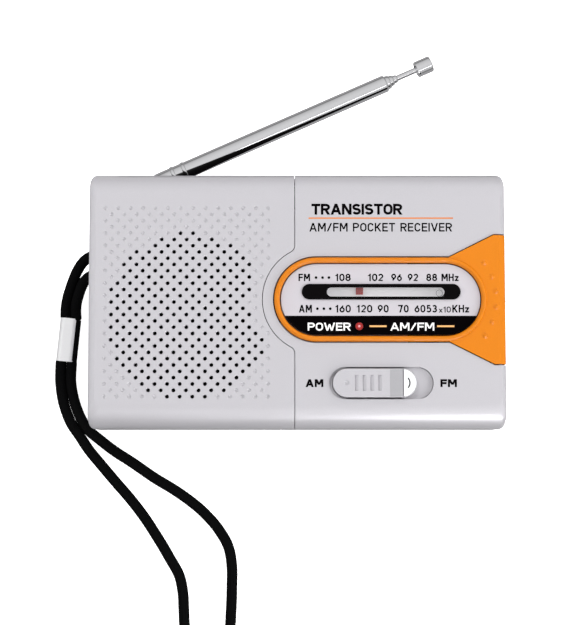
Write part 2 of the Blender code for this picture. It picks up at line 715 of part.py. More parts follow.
def make_dial_plate():
    gap = 0.0002
    radius = DIAL_OPENING_RADIUS - gap
    outline = pill(DIAL_X - radius, DIAL_RIGHT_X + radius, DIAL_Y, radius, 20)
    slot = pill(SLOT_LEFT_X, SLOT_RIGHT_X, SLOT_Y, SLOT_HALF, 6)
    holes = [slot, circle(LED_X, LED_Y, 0.0011)]
    low = SURROUND_BED_Z + SEAM_GAP / 2
    finished(plate("dial_plate", [outline, *holes], low, low + 0.0006), WHITE)
    bezel = pill(0.0013, 0.045, 0.00213, 0.00215, 10)
    finished(plate("slot_bezel", [bezel, slot], low + 0.0008, low + 0.0012), BLACK)
    clear = pill(SLOT_LEFT_X + gap, SLOT_RIGHT_X - gap, SLOT_Y, SLOT_HALF - gap, 6)
    finished(plate("pointer_window", [clear], low, low + 0.0005), CLEAR)


def make_dial_backing():
    """The white strip behind the pointer, on two feet."""
    low, high, foot_top = 0.02, 0.0206, 0.0219
    left, right, foot = 0.0055, 0.044, 0.0015
    section = [(left, low), (right, low), (right, foot_top), (right - foot, foot_top), (right - foot, high)]
    section += [(left + foot, high), (left + foot, foot_top), (left, foot_top)]
    rings = [[(x, y, z) for x, z in section] for y in (-0.0028, 0.0067)]
    return finished(loft("dial_backing", rings), WHITE)


def make_power_led():
    tip, shoulder, low = 0.0239, 0.0219, 0.0185
    profile = [(0, tip), (0.0006, tip - 0.0001), (0.0009, tip - 0.0005), (0.0009, shoulder)]
    profile += [(0.0015, shoulder), (0.0015, low), (0, low)]
    return finished(turned("power_led", profile, (LED_X, LED_Y, 0), sides=12), RED)


def make_pointer():
    """The red pointer: a carriage clipped over the dial cord and a flag that reaches down to the slot."""
    half = 0.0015
    carriage_low = (POINTER_X - half, DIAL_CORD_Y - 0.0006, DIAL_CORD_Z + 0.0006)
    carriage = box("dial_pointer", carriage_low, (POINTER_X + half, DIAL_CORD_Y + 0.0006, 0.0214))
    flag_high = (POINTER_X + 0.001, DIAL_CORD_Y + 0.0002, 0.0213)
    add(carriage, box("pointer_flag", (POINTER_X - 0.001, 0.0016, 0.0209), flag_high))
    return finished(carriage, RED)


def make_dial_cord():
    """The closed loop of cord round the wheel's drum and the pulley."""
    across = Vector((TUNING_X - PULLEY_X, TUNING_Y - PULLEY_Y))
    tilt = math.degrees(math.atan2(across.y, across.x))
    spread = math.degrees(math.acos((DRUM_RADIUS - PULLEY_RADIUS) / across.length))
    upper, lower = tilt + 180 - spread, tilt + 180 + spread
    loop = arc(TUNING_X, TUNING_Y, DRUM_RADIUS, lower - 360, upper, 18)
    loop += arc(PULLEY_X, PULLEY_Y, PULLEY_RADIUS, upper, lower, 8)
    cord = tube("dial_cord", [(x, y, DIAL_CORD_Z) for x, y in loop], DIAL_CORD_RADIUS, True, 1)
    return finished(cord, FABRIC)


def make_dial_pulley():
    low, high, flange, groove = 0.0175, 0.0191, 0.0036, PULLEY_RADIUS - 0.00055
    profile = [(0.0012, high), (flange, high), (flange, high - 0.0003), (groove, high - 0.0004)]
    profile += [(groove, low + 0.0004), (flange, low + 0.0003), (flange, low), (0.0012, low)]
    pulley = turned("dial_pulley", profile, (PULLEY_X, PULLEY_Y, 0), sides=16, ring=True)
    return finished(pulley, WHITE)


# ---------------------------------------------------------------- thumbwheels


def make_tuning_wheel():
    """Thumbwheel and cord drum in one moulding, on the tuning capacitor's shaft."""
    groove, flange = DRUM_RADIUS - 0.00055, DRUM_RADIUS + 0.0005
    radius, bevel = TUNING_WHEEL_RADIUS, 0.0004
    profile = [(0.0026, 0.0194), (flange, 0.0194), (flange, 0.019), (groove, 0.0188), (groove, 0.0178)]
    profile += [(flange, 0.0176), (flange, WHEEL_HIGH_Z), (radius - bevel, WHEEL_HIGH_Z)]
    profile += [(radius, WHEEL_HIGH_Z - bevel), (radius, WHEEL_LOW_Z + bevel)]
    profile += [(radius - bevel, WHEEL_LOW_Z), (0.00315, WHEEL_LOW_Z)]
    profile += [(0.00315, 0.0162), (0.0014, 0.0162), (0.0014, 0.0174), (0.0026, 0.0174)]
    place = (TUNING_X, TUNING_Y, 0)
    wheel = finished(turned("tuning_wheel", profile, place, sides=32, ring=True), DARK_GREY)
    shaft = [(0.0013, 0.0159), (0.003, 0.0159), (0.003, BOARD_LOW_Z), (0, BOARD_LOW_Z)]
    shaft += [(0, 0.0125), (0.0013, 0.0125)]
    stem = finished(shaft_with_hole("tuning_shaft", shaft, place), BRASS)
    screw = [(0, 0.0189), (0.002, 0.0189), (0.0023, 0.0186), (0.0023, 0.0177)]
    screw += [(0.001, 0.0177), (0.001, 0.013), (0, 0.013)]
    screw = finished(turned("tuning_wheel_screw", screw, place, sides=12), STEEL)
    hang("tuning_axis", place, [wheel, stem, screw])


def shaft_with_hole(name, profile, place):
    """A turned shaft with a blind hole in its top.

    The profile runs out from the hole's mouth, down the shaft, and back up to the mouth.
    """
    outside = profile[:4]
    hole = profile[4:]
    return turned(name, [hole[0], hole[1], *outside], place, sides=12)


def make_volume_wheel():
    radius, bevel = VOLUME_WHEEL_RADIUS, 0.0004
    profile = [(0.0022, WHEEL_HIGH_Z), (radius - bevel, WHEEL_HIGH_Z), (radius, WHEEL_HIGH_Z - bevel)]
    profile += [(radius, WHEEL_LOW_Z + bevel), (radius - bevel, WHEEL_LOW_Z), (0.00215, WHEEL_LOW_Z)]
    profile += [(0.00215, 0.0152), (0.0011, 0.0152), (0.0011, 0.0158), (0.0022, 0.0158)]
    place = (VOLUME_X, VOLUME_Y, 0)
    wheel = finished(turned("volume_wheel", profile, place, sides=28, ring=True), DARK_GREY)
    shaft = [(0.001, 0.0149), (0.002, 0.0149), (0.002, BOARD_LOW_Z), (0, BOARD_LOW_Z)]
    shaft += [(0, 0.012), (0.001, 0.012)]
    stem = finished(shaft_with_hole("volume_shaft", shaft, place), BRASS)
    screw = [(0, 0.0168), (0.0016, 0.0168), (0.0019, 0.0165), (0.0019, 0.0161)]
    screw += [(0.0007, 0.0161), (0.0007, 0.0125), (0, 0.0125)]
    screw = finished(turned("volume_wheel_screw", screw, place, sides=12), STEEL)
    hang("volume_axis", place, [wheel, stem, screw])


# ---------------------------------------------------------------- band switch


def make_band_switch():
    button_shape = pill(BUTTON_LEFT_X, BUTTON_RIGHT_X, SWITCH_Y, BUTTON_HALF_HEIGHT, 10)
    button = plate("band_switch_button", [button_shape], SWITCH_BED_Z + SEAM_GAP, BUTTON_TOP_Z)
    stem_low = (STEM_LEFT_X, SWITCH_Y - STEM_HALF, 0.0197)
    add(button, box("switch_stem", stem_low, (STEM_RIGHT_X, SWITCH_Y + STEM_HALF, SWITCH_BED_Z + 0.0008)))
    finished(button, WHITE)
    hang("band_switch_slide", (BUTTON_LEFT_X, SWITCH_Y, BUTTON_TOP_Z), [button])
    base = box("band_switch_body", (0.0115, SWITCH_Y - 0.0034, 0.0175), (0.0315, SWITCH_Y + 0.0034, 0.0219))
    way_low = (STEM_LEFT_X - 0.0004, SWITCH_Y - STEM_HALF - 0.0003, 0.0193)
    way_high = (STEM_RIGHT_X + SWITCH_TRAVEL + 0.0004, SWITCH_Y + STEM_HALF + 0.0003, BODY_DEPTH)
    finished(cut(base, box("stem_way", way_low, way_high)), STEEL)


# ---------------------------------------------------------------- electronics


def make_circuit_board():
    """An L-shaped board, notched for two screw pillars and holed for the two shafts."""
    left, right, low, high = 0.0314, 0.0548, -0.0332, 0.0332
    arm_left, arm_low = -0.005, 0.027
    (ax, ay), (bx, by), reach = CASE_SCREWS[2], CASE_SCREWS[3], 0.0037
    outline = [(left, low), (bx - reach, low), (bx - reach, by + reach)]
    outline += [(bx + reach, by + reach), (bx + reach, low)]
    outline += [(right, low), (right, ay - reach), (ax - reach, ay - reach), (ax - reach, ay + reach)]
    outline += [(right, ay + reach), (right, high), (arm_left, high), (arm_left, arm_low), (left, arm_low)]
    holes = [circle(TUNING_X, TUNING_Y, 0.0036), circle(VOLUME_X, VOLUME_Y, 0.0026)]
    return finished(plate("circuit_board", [outline, *holes], BOARD_LOW_Z, BOARD_HIGH_Z), GREEN_BOARD)


def make_board_components():
    top, bottom = BOARD_HIGH_Z + SEAM_GAP, BOARD_LOW_Z - SEAM_GAP
    half = 0.008
    low = (TUNING_X - half, TUNING_Y - half, 0.0023)
    finished(box("tuning_capacitor", low, (TUNING_X + half, TUNING_Y + half, bottom)), WHITE)
    low = (0.0441, VOLUME_Y - 0.0058, 0.005)
    finished(box("volume_control", low, (0.0552, VOLUME_Y + 0.0058, bottom)), STEEL)
    for number, x in enumerate((0.0352, 0.0432), 1):
        can_low, can_high = (x - 0.0035, 0.014, top), (x + 0.0035, 0.021, top + 0.0085)
        finished(box(f"if_transformer_{number}", can_low, can_high), STEEL)
    finished(box("radio_chip", (0.0333, -0.023, top), (0.0397, -0.011, top + 0.003)), BLACK)
    finished(upright("capacitor", 0.0025, 0.0435, -0.0155, top, top + 0.007, 14), DARK_GREY)
    make_earphone_jack(top)
    rod_y, rod_z = 0.0294, 0.0167
    finished(cylinder("ferrite_rod", 0.0034, (0.001, rod_y, rod_z), (0.044, rod_y, rod_z), 16), FERRITE)
    winding = [(0.0036, 0.006), (0.004, 0.006), (0.004, -0.006), (0.0036, -0.006)]
    coil = turned("ferrite_coil", winding, (0.037, rod_y, rod_z), (1, 0, 0), 16, True)
    finished(coil, COPPER)


def make_earphone_jack(top):
    jack = box("earphone_jack", (0.0445, JACK_Y - 0.003, top), (0.0549, JACK_Y + 0.003, top + 0.0062))
    inside, outside = (0.0535, JACK_Y, JACK_Z), (HALF_WIDTH - 0.0002, JACK_Y, JACK_Z)
    add(jack, cylinder("jack_barrel", 0.003, inside, outside, 16))
    mouth = (HALF_WIDTH + BEYOND, JACK_Y, JACK_Z)
    finished(cut(jack, cylinder("jack_bore", 0.0018, (0.0465, JACK_Y, JACK_Z), mouth, 12)), BLACK)


def make_speaker():
    place = (GRILLE_X, GRILLE_Y, 0)
    rim, wall = SPEAKER_RIM_Z, 0.0008
    basket = [(0.0212, rim), (SPEAKER_RADIUS, rim), (SPEAKER_RADIUS, rim - wall), (0.0215, rim - wall)]
    basket += [(0.019, 0.0142), (0.013, 0.0105), (0.0085, 0.0105), (0.0085, 0.0113)]
    basket += [(0.0127, 0.0113), (0.0183, 0.0147)]
    finished(turned("speaker_basket", basket, place, sides=28, ring=True), STEEL)
    cone = [(0, 0.0168), (0.003, 0.0163), (0.006, 0.0147), (0.0194, 0.0206), (0.0205, 0.0211)]
    cone += [(0.0205, 0.0207), (0.0195, 0.0201), (0.0063, 0.0142), (0.0063, 0.0118)]
    cone += [(0.0057, 0.0118), (0.0057, 0.0143), (0.003, 0.0158), (0, 0.0163)]
    finished(turned("speaker_cone", cone, place, sides=24), PAPER)
    magnet = [(0, 0.0102), (0.0113, 0.0102), (0.0113, 0.0055), (0.0095, 0.0048), (0, 0.0048)]
    finished(turned("speaker_magnet", magnet, place, sides=24), FERRITE)


def make_speaker_wires():
    """Two leads from the speaker's terminals to the end of the board's arm."""
    for number, shift in enumerate((0, 0.0011), 1):
        route = (
            (-0.0146 + shift, 0.0101 - shift, 0.017),
            (-0.0115 + shift, 0.0142 - 0.7 * shift, 0.0173),
            (-0.0094 + shift, 0.0191, 0.017),
            (-0.0084 + shift, 0.024, 0.0165),
            (-0.0064 + shift, 0.0272 - shift / 2, 0.0149),
            (-0.0038 + shift / 2, 0.0289 - shift, 0.0129),
        )
        wire = tube(f"speaker_wire_{number}", smooth_route(route, 0.0022), 0.0004, False, 1)
        finished(wire, RED if number == 1 else BLACK)


# ---------------------------------------------------------------- power cells


def make_cells():
    """Two cells, nose up and nose down."""
    nose, base = CELL_LENGTH + CELL_NUB_LENGTH, 0.0003
    profile = [(0, nose), (CELL_NUB_RADIUS, nose), (CELL_NUB_RADIUS, CELL_LENGTH)]
    profile += [(CELL_RADIUS - 0.0004, CELL_LENGTH), (CELL_RADIUS, CELL_LENGTH - 0.0004)]
    profile += [(CELL_RADIUS, base), (CELL_RADIUS - base, 0), (0, 0)]
    ends = ((BAY_TOP_Y - 0.0009 - nose, 1), (BAY_BOTTOM_Y + 0.0009 + nose, -1))
    for number, (x, (y, way)) in enumerate(zip(CELL_XS, ends), 1):
        cell = turned(f"battery_{number}", profile, (x, y, CELL_Z), (0, way, 0), 20)
        finished(cell, CELL_SLEEVE)


def make_battery_contacts():
    """A spring at each cell's base and a plate at each nose."""
    nose = CELL_LENGTH + CELL_NUB_LENGTH
    spring_room = BAY_TOP_Y - BAY_BOTTOM_Y - 0.0009 - nose
    ends = ((BAY_BOTTOM_Y + 0.0006, 1), (BAY_TOP_Y - 0.0006, -1))
    turns, per_turn, wire = 4, 8, 0.00035
    for number, (x, (y, way)) in enumerate(zip(CELL_XS, ends), 1):
        length = spring_room - 0.0006 - 0.0009
        points = []
        for step in range(turns * per_turn + 1):
            share = step / (turns * per_turn)
            angle = 2 * math.pi * step / per_turn
            radius = 0.0045 - 0.0018 * share
            height = y + way * length * share
            points.append((x + radius * math.cos(angle), height, CELL_Z + radius * math.sin(angle)))
        finished(tube(f"battery_spring_{number}", points, wire, False, 0), STEEL)
    thick, half = 0.0003, 0.0045
    y = BAY_TOP_Y - 0.0006
    top_low = (CELL_XS[0] - half, y, CELL_Z - half)
    finished(box("battery_contact_top", top_low, (CELL_XS[0] + half, y + thick, CELL_Z + half)), STEEL)
    y = BAY_BOTTOM_Y + 0.0003
    low = (CELL_XS[1] - half, y, CELL_Z - half)
    finished(box("battery_contact_bottom", low, (CELL_XS[1] + half, y + thick, CELL_Z + half)), STEEL)


# ---------------------------------------------------------------- aerial


def make_aerial():
    """A hinged foot and five telescoping sections, built along +X and then swung up."""
    pivot = bpy.data.objects.new("aerial_pivot", None)
    PARTS.objects.link(pivot)
    pivot.location = (AERIAL_X, AERIAL_Y, AERIAL_Z)
    pivot.rotation_euler.z = math.radians(AERIAL_REST_DEG)
    along = (1, 0, 0)

    lug = pill(-0.0024, 0.0082, 0, 0.0024, 8)
    foot = plate("aerial_foot", [lug, circle(0, 0, 0.0012)], -0.0015, 0.0015)
    plug = cylinder("foot_plug", 0.0019, (0.005, 0, 0), (0.0115, 0, 0), 12)
    add(foot, plug)
    bead = 0.00022
    outer, inner, end = 0.0025, 0.00215, AERIAL_TUBE_END
    profile = [(inner, end), (outer - 0.0002, end), (outer, end - 0.0002)]
    for ring in (0.0171, 0.0138):
        profile += [(outer, ring + 0.0006), (outer + bead, ring + 0.0003), (outer + bead, ring - 0.0003)]
        profile += [(outer, ring - 0.0006)]
    profile += [(outer, 0.0086), (inner, 0.0086)]
    first = turned("aerial_tube_1", profile, (0, 0, 0), along, 16, True)
    pieces = [finished(foot, CHROME), finished(first, CHROME)]
    sections = [(0.002, 0.00175, 0.016, 0.082), (0.0016, 0.00135, 0.0172, 0.0831)]
    sections.append((0.0012, 0.00097, 0.0183, 0.0843))
    for number, (outer, inner, start, end) in enumerate(sections, 2):
        profile = [(inner, end), (outer, end), (outer, start), (inner, start)]
        section = turned(f"aerial_tube_{number}", profile, (0, 0, 0), along, 16, True)
        pieces.append(finished(section, CHROME))
    rod = cylinder("aerial_rod", 0.00082, (0.0195, 0, 0), (0.0925, 0, 0), 12)
    knob = [(0, 0.0951), (0.0017, 0.0949), (0.0022, 0.0944), (0.00235, 0.0936), (0.00235, 0.0915)]
    knob += [(0.0022, 0.0907), (0.0017, 0.0902), (0.001, 0.09), (0.001, 0.0928), (0, 0.0928)]
    tip = turned("aerial_tip", knob, (0, 0, 0), along, 16)
    pieces += [finished(rod, CHROME), finished(tip, CHROME)]
    for piece in (plug, *pieces):
        piece.parent = pivot


def make_aerial_pivot():
    place = (AERIAL_X, AERIAL_Y, 0)
    screw = [(0, 0.0117), (0.0013, 0.0117), (0.0015, 0.0114), (0.0015, 0.0103)]
    screw += [(0.0009, 0.0103), (0.0009, 0.0013), (0, 0.0013)]
    finished(turned("aerial_pivot_screw", screw, place, sides=12), STEEL)
    washer = [(0.0012, 0.0081), (0.0024, 0.0081), (0.0024, 0.0073), (0.0012, 0.0073)]
    finished(turned("aerial_spring_washer", washer, place, sides=16, ring=True), STEEL)


# ---------------------------------------------------------------- wrist strap


def make_strap():
    pin = upright("strap_pin", STRAP_PIN_RADIUS, STRAP_PIN_X, STRAP_PIN_Y, 0.0015, 0.0113, 10)
    finished(pin, STEEL)
    finished(tube("strap_eyelet_cord", smooth_route(EYELET_ROUTE, 0.0014), STRAP_RADIUS), FABRIC)
    finished(tube("strap_hand_cord", smooth_route(HAND_LOOP_ROUTE, 0.0052), STRAP_RADIUS), FABRIC)
    axis = FERRULE_BOTTOM - FERRULE_TOP
    outline = pill(-FERRULE_HALF_WIDTH, FERRULE_HALF_WIDTH, 0, FERRULE_HALF_THICKNESS, 6)
    ferrule = plate("strap_ferrule", [outline], 0, axis.length)
    ferrule.location = FERRULE_TOP
    side = axis.cross(Vector((0, 0, 1))).normalized()
    turn = Matrix((side, Vector((0, 0, 1)), axis.normalized())).transposed()
    if turn.determinant() < 0:
        turn = Matrix((-side, Vector((0, 0, 1)), axis.normalized())).transposed()
    ferrule.rotation_euler = turn.to_euler()
    finished(ferrule, CHROME)


clear_scene()
PARTS = collection("transistor_pocket_radio")
HELPERS = collection("helpers")
make_speaker_panel()
make_front_case()
make_dial_surround()
make_back_case()
hang("battery_door_slide", (0.0125, -0.0349, 0), [make_battery_door()])
make_case_screws()
make_dial_plate()
make_dial_backing()
make_power_led()
hang("pointer_slide", (POINTER_X, DIAL_CORD_Y, DIAL_CORD_Z), [make_pointer()])
make_dial_cord()
hang("pulley_axis", (PULLEY_X, PULLEY_Y, 0), [make_dial_pulley()])
make_tuning_wheel()
make_volume_wheel()
make_band_switch()
make_circuit_board()
make_board_components()
make_speaker()
make_speaker_wires()
make_cells()
make_battery_contacts()
make_aerial()
make_aerial_pivot()
make_strap()
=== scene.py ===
"""Looks of the transistor pocket radio: its skins, prints, materials, light and camera.

Metres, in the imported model's frame: the back lies on z = 0 and the face looks up.
"""

import json
import math

import bmesh
import bpy
from mathutils import Matrix, Vector
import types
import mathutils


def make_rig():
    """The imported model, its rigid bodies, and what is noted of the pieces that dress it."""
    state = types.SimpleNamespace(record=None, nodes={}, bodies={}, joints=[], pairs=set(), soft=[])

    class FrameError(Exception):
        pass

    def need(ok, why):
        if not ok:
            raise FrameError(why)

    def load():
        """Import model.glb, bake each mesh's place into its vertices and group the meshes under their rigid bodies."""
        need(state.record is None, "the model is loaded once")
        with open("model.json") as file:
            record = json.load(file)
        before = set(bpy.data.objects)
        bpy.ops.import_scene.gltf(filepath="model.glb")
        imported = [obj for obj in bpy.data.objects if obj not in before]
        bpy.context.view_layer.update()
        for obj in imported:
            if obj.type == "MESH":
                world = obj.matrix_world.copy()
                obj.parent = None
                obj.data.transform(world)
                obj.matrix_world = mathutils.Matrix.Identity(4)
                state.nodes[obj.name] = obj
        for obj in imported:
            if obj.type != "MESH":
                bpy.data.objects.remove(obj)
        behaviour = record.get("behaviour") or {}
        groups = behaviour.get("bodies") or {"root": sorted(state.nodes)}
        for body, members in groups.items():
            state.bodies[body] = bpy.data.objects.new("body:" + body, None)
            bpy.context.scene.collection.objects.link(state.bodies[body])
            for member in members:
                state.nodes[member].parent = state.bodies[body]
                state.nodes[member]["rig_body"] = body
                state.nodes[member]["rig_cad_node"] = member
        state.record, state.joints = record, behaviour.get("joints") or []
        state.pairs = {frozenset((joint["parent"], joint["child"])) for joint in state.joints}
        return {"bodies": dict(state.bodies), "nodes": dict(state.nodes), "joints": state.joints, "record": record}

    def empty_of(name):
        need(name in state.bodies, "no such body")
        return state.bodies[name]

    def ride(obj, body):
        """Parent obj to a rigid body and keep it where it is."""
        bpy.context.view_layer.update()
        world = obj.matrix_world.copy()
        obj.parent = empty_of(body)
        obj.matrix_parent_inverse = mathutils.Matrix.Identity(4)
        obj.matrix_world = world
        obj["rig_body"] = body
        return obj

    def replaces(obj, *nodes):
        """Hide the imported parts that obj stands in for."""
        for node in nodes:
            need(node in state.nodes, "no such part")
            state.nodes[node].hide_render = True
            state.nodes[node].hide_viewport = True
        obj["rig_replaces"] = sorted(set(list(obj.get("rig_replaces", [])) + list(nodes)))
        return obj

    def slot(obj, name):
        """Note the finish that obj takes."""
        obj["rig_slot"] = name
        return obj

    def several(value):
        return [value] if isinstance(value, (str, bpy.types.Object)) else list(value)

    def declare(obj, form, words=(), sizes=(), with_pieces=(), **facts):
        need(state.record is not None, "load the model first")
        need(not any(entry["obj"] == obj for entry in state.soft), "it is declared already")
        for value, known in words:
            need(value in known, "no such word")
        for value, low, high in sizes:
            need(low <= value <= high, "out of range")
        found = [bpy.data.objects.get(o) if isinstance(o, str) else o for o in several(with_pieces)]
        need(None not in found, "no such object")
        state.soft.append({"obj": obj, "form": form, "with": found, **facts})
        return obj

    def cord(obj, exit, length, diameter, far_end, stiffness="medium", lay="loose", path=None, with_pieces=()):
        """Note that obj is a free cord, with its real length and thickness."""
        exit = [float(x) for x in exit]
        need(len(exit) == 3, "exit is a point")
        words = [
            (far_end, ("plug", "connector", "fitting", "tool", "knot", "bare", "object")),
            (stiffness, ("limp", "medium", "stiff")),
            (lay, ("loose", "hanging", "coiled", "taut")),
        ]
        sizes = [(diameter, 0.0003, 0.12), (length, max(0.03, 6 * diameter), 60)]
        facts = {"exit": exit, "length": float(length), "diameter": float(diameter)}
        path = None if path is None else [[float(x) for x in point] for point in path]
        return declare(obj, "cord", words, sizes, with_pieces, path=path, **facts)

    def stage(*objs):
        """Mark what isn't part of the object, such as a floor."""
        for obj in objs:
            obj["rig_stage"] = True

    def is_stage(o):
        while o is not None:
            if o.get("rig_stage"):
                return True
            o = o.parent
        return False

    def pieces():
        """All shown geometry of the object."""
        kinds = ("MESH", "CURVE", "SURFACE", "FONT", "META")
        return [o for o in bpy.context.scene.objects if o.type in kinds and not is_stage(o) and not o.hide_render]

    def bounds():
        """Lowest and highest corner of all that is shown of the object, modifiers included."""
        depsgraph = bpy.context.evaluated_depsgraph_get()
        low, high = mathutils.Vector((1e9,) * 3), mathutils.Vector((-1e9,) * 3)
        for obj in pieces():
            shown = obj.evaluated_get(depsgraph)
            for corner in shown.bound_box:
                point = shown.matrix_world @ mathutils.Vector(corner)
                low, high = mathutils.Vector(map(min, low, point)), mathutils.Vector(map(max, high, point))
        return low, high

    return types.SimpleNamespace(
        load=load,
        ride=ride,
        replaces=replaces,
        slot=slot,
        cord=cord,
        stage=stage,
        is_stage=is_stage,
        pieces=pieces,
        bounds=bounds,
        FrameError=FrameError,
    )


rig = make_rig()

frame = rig.load()
CAD_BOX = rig.bounds()
MM = 0.001

# ---------------------------------------------------------------- dimensions, as in the CAD

HALF_WIDTH = 0.0575
HALF_HEIGHT = 0.0355
BODY_WIDTH = 2 * HALF_WIDTH
BODY_HEIGHT = 2 * HALF_HEIGHT
BODY_DEPTH = 0.024
PARTING_Z = 0.012
FACE_WALL = 0.0018
SIDE_WALL = 0.002
SHOULDER_RADIUS = 0.007
BACK_EDGE_RADIUS = 0.0025
CORNER_RADIUS = 0.0017
SEAM_GAP = 0.0003
FRONT_GAP = 0.0002
INNER_HALF_WIDTH = HALF_WIDTH - SIDE_WALL
INNER_FACE_Z = BODY_DEPTH - FACE_WALL
BEYOND = 0.003
SIDE_BEVEL_LOW_Z = 0.0223
SIDE_BEVEL_LEFT = 0.002
SIDE_BEVEL_RIGHT = 0.0014

DIAL_X = 0.00536
DIAL_RIGHT_X = 0.04066
DIAL_OPENING_RADIUS = 0.01005
SURROUND_RADIUS = 0.0118
SURROUND_FLARE_X = 0.0419
SURROUND_WIDE_X = 0.0542
SURROUND_HALF_HEIGHT = 0.01795
SURROUND_BED_Z = 0.023
SURROUND_FIELD_Z = 0.0244
SURROUND_CROWN_Z = 0.02495
SURROUND_SIDE = 0.001
SLOT_LEFT_X = 0.0082
SLOT_RIGHT_X = 0.0406
SLOT_Y = 0.00205
SLOT_HALF = 0.00125
LED_X = 0.0171
LED_Y = -0.0074
PLATE_TOP_Z = 0.02375
SEAM_X = -0.0006
SEAM_RADIUS = 0.0149
SEAM_FILLET = 0.002

GRILLE_X = -0.0294
GRILLE_Y = -0.0047
GRILLE_RADIUS = 0.02328
GRILLE_DIAL_CLEARANCE = 0.01863
GRILLE_FIRST_X = -0.05286
GRILLE_FIRST_Y = 0.02531
GRILLE_PITCH = 0.003453
GRILLE_ROW_STEP = 0.001734
GRILLE_ROWS = 31
GRILLE_COLUMNS = 14
GRILLE_HOLE_RADIUS = 0.00054
DIMPLE_RADIUS = 0.00056
DIMPLE_DEPTH = 0.0003

TUNING_X = 0.0464
TUNING_WHEEL_RADIUS = 0.012
DRUM_RADIUS = 0.00775
VOLUME_X = 0.0514
VOLUME_Y = -0.0262
VOLUME_WHEEL_RADIUS = 0.0068
WHEEL_LOW_Z = 0.0132
WHEEL_HIGH_Z = 0.0172
WHEEL_SLOT_GAP = 0.00055

SWITCH_X = 0.0231
SWITCH_Y = -0.023
SWITCH_SLOT_LENGTH = 0.0286
SWITCH_SLOT_HEIGHT = 0.0088
SWITCH_BED_Z = 0.023
BUTTON_LEFT_X = 0.00975
BUTTON_RIGHT_X = 0.03275
BUTTON_HALF_HEIGHT = 0.00393
BUTTON_TOP_Z = 0.0252
STEM_LEFT_X = 0.017
STEM_RIGHT_X = 0.022
STEM_HALF = 0.0017
SWITCH_TRAVEL = 0.004

JACK_Y = 0.0295
JACK_Z = 0.0155

CELL_XS = (0.0046, 0.0204)
CELL_Z = 0.009
CELL_RADIUS = 0.0071
CELL_LENGTH = 0.0495
CELL_NUB_LENGTH = 0.001
CELL_NUB_RADIUS = 0.0027
BAY_LEFT_X = -0.0046
BAY_RIGHT_X = 0.0296
BAY_TOP_Y = 0.0242
BAY_BOTTOM_Y = -0.0328
BAY_ROOF_Z = 0.0164
BAY_ROOF_TOP_Z = 0.0172
BAY_WALL = 0.0011
DOOR_END_Y = -0.0338

AERIAL_PLACE = Vector((-0.0479, 0.032, 0.0055))
AERIAL_REST_DEG = 23.86
AERIAL_CHANNEL_HALF = 0.003
AERIAL_TUBE_END = 0.0808

# The woven cord stands proud of the CAD's plain one, and each end runs on into the ferrule.
WOVEN_RADIUS = 0.00155
CORD_RUN_ON = 0.0009
STRAP_PIN_X = -0.0559
STRAP_PIN_Y = 0.0116
FERRULE_TOP = Vector((-0.0649, -0.0035, 0.0022))
FERRULE_BOTTOM = Vector((-0.0661, -0.0159, 0.0022))
FERRULE_HALF_WIDTH = 0.003
FERRULE_HALF_THICKNESS = 0.0017
EYELET_ROUTE = (
    (-0.06645, -0.0029, 0.0022),
    (-0.06635, -0.0004, 0.0026),
    (-0.06585, 0.0022, 0.0033),
    (-0.06505, 0.0046, 0.0041),
    (-0.06410, 0.0071, 0.0049),
    (-0.06280, 0.0099, 0.0057),
    (-0.06110, 0.0124, 0.0062),
    (-0.05880, 0.0140, 0.0065),
    (-0.05610, 0.0142, 0.0065),
    (-0.05400, 0.0134, 0.0065),
    (-0.05325, 0.0116, 0.0065),
    (-0.05400, 0.0098, 0.0065),
    (-0.05610, 0.0090, 0.0065),
    (-0.05850, 0.0086, 0.0063),
    (-0.06040, 0.0073, 0.0059),
    (-0.06160, 0.0053, 0.0053),
    (-0.06248, 0.0031, 0.0045),
    (-0.06316, 0.0009, 0.0037),
    (-0.06345, -0.0012, 0.0028),
    (-0.06340, -0.0032, 0.0023),
)
HAND_LOOP_ROUTE = (
    (-0.0646, -0.0165, 0.0021),
    (-0.0648, -0.0216, 0.0016),
    (-0.0639, -0.0267, 0.0015),
    (-0.0621, -0.0316, 0.0015),
    (-0.0597, -0.0354, 0.0015),
    (-0.0563, -0.0383, 0.0015),
    (-0.0521, -0.0415, 0.0015),
    (-0.0468, -0.0449, 0.0015),
    (-0.0408, -0.0490, 0.0015),
    (-0.0345, -0.0528, 0.0015),
    (-0.0293, -0.0565, 0.0015),
    (-0.0255, -0.0599, 0.0015),
    (-0.0221, -0.0639, 0.0015),
    (-0.0194, -0.0687, 0.0015),
    (-0.0184, -0.0743, 0.0015),
    (-0.0184, -0.0808, 0.0015),
    (-0.0186, -0.0868, 0.0015),
    (-0.0191, -0.0923, 0.0015),
    (-0.0214, -0.0969, 0.0015),
    (-0.0255, -0.0987, 0.0015),
    (-0.0295, -0.0965, 0.0015),
    (-0.0316, -0.0918, 0.0015),
    (-0.0320, -0.0868, 0.0015),
    (-0.0323, -0.0817, 0.0015),
    (-0.0334, -0.0767, 0.0015),
    (-0.0359, -0.0722, 0.0015),
    (-0.0390, -0.0670, 0.0015),
    (-0.0432, -0.0606, 0.0015),
    (-0.0473, -0.0553, 0.0015),
    (-0.0516, -0.0504, 0.0015),
    (-0.0559, -0.0454, 0.0015),
    (-0.0594, -0.0412, 0.0015),
    (-0.0622, -0.0371, 0.0015),
    (-0.0649, -0.0330, 0.0015),
    (-0.0669, -0.0275, 0.0015),
    (-0.0678, -0.0217, 0.0016),
    (-0.0677, -0.0162, 0.0021),
)
CASE_SCREWS = ((-0.05, 0.0235), (-0.0515, -0.028), (0.0515, 0.023), (0.0405, -0.028))
TRENCH_WIDTH = 0.00016

# ---------------------------------------------------------------- materials


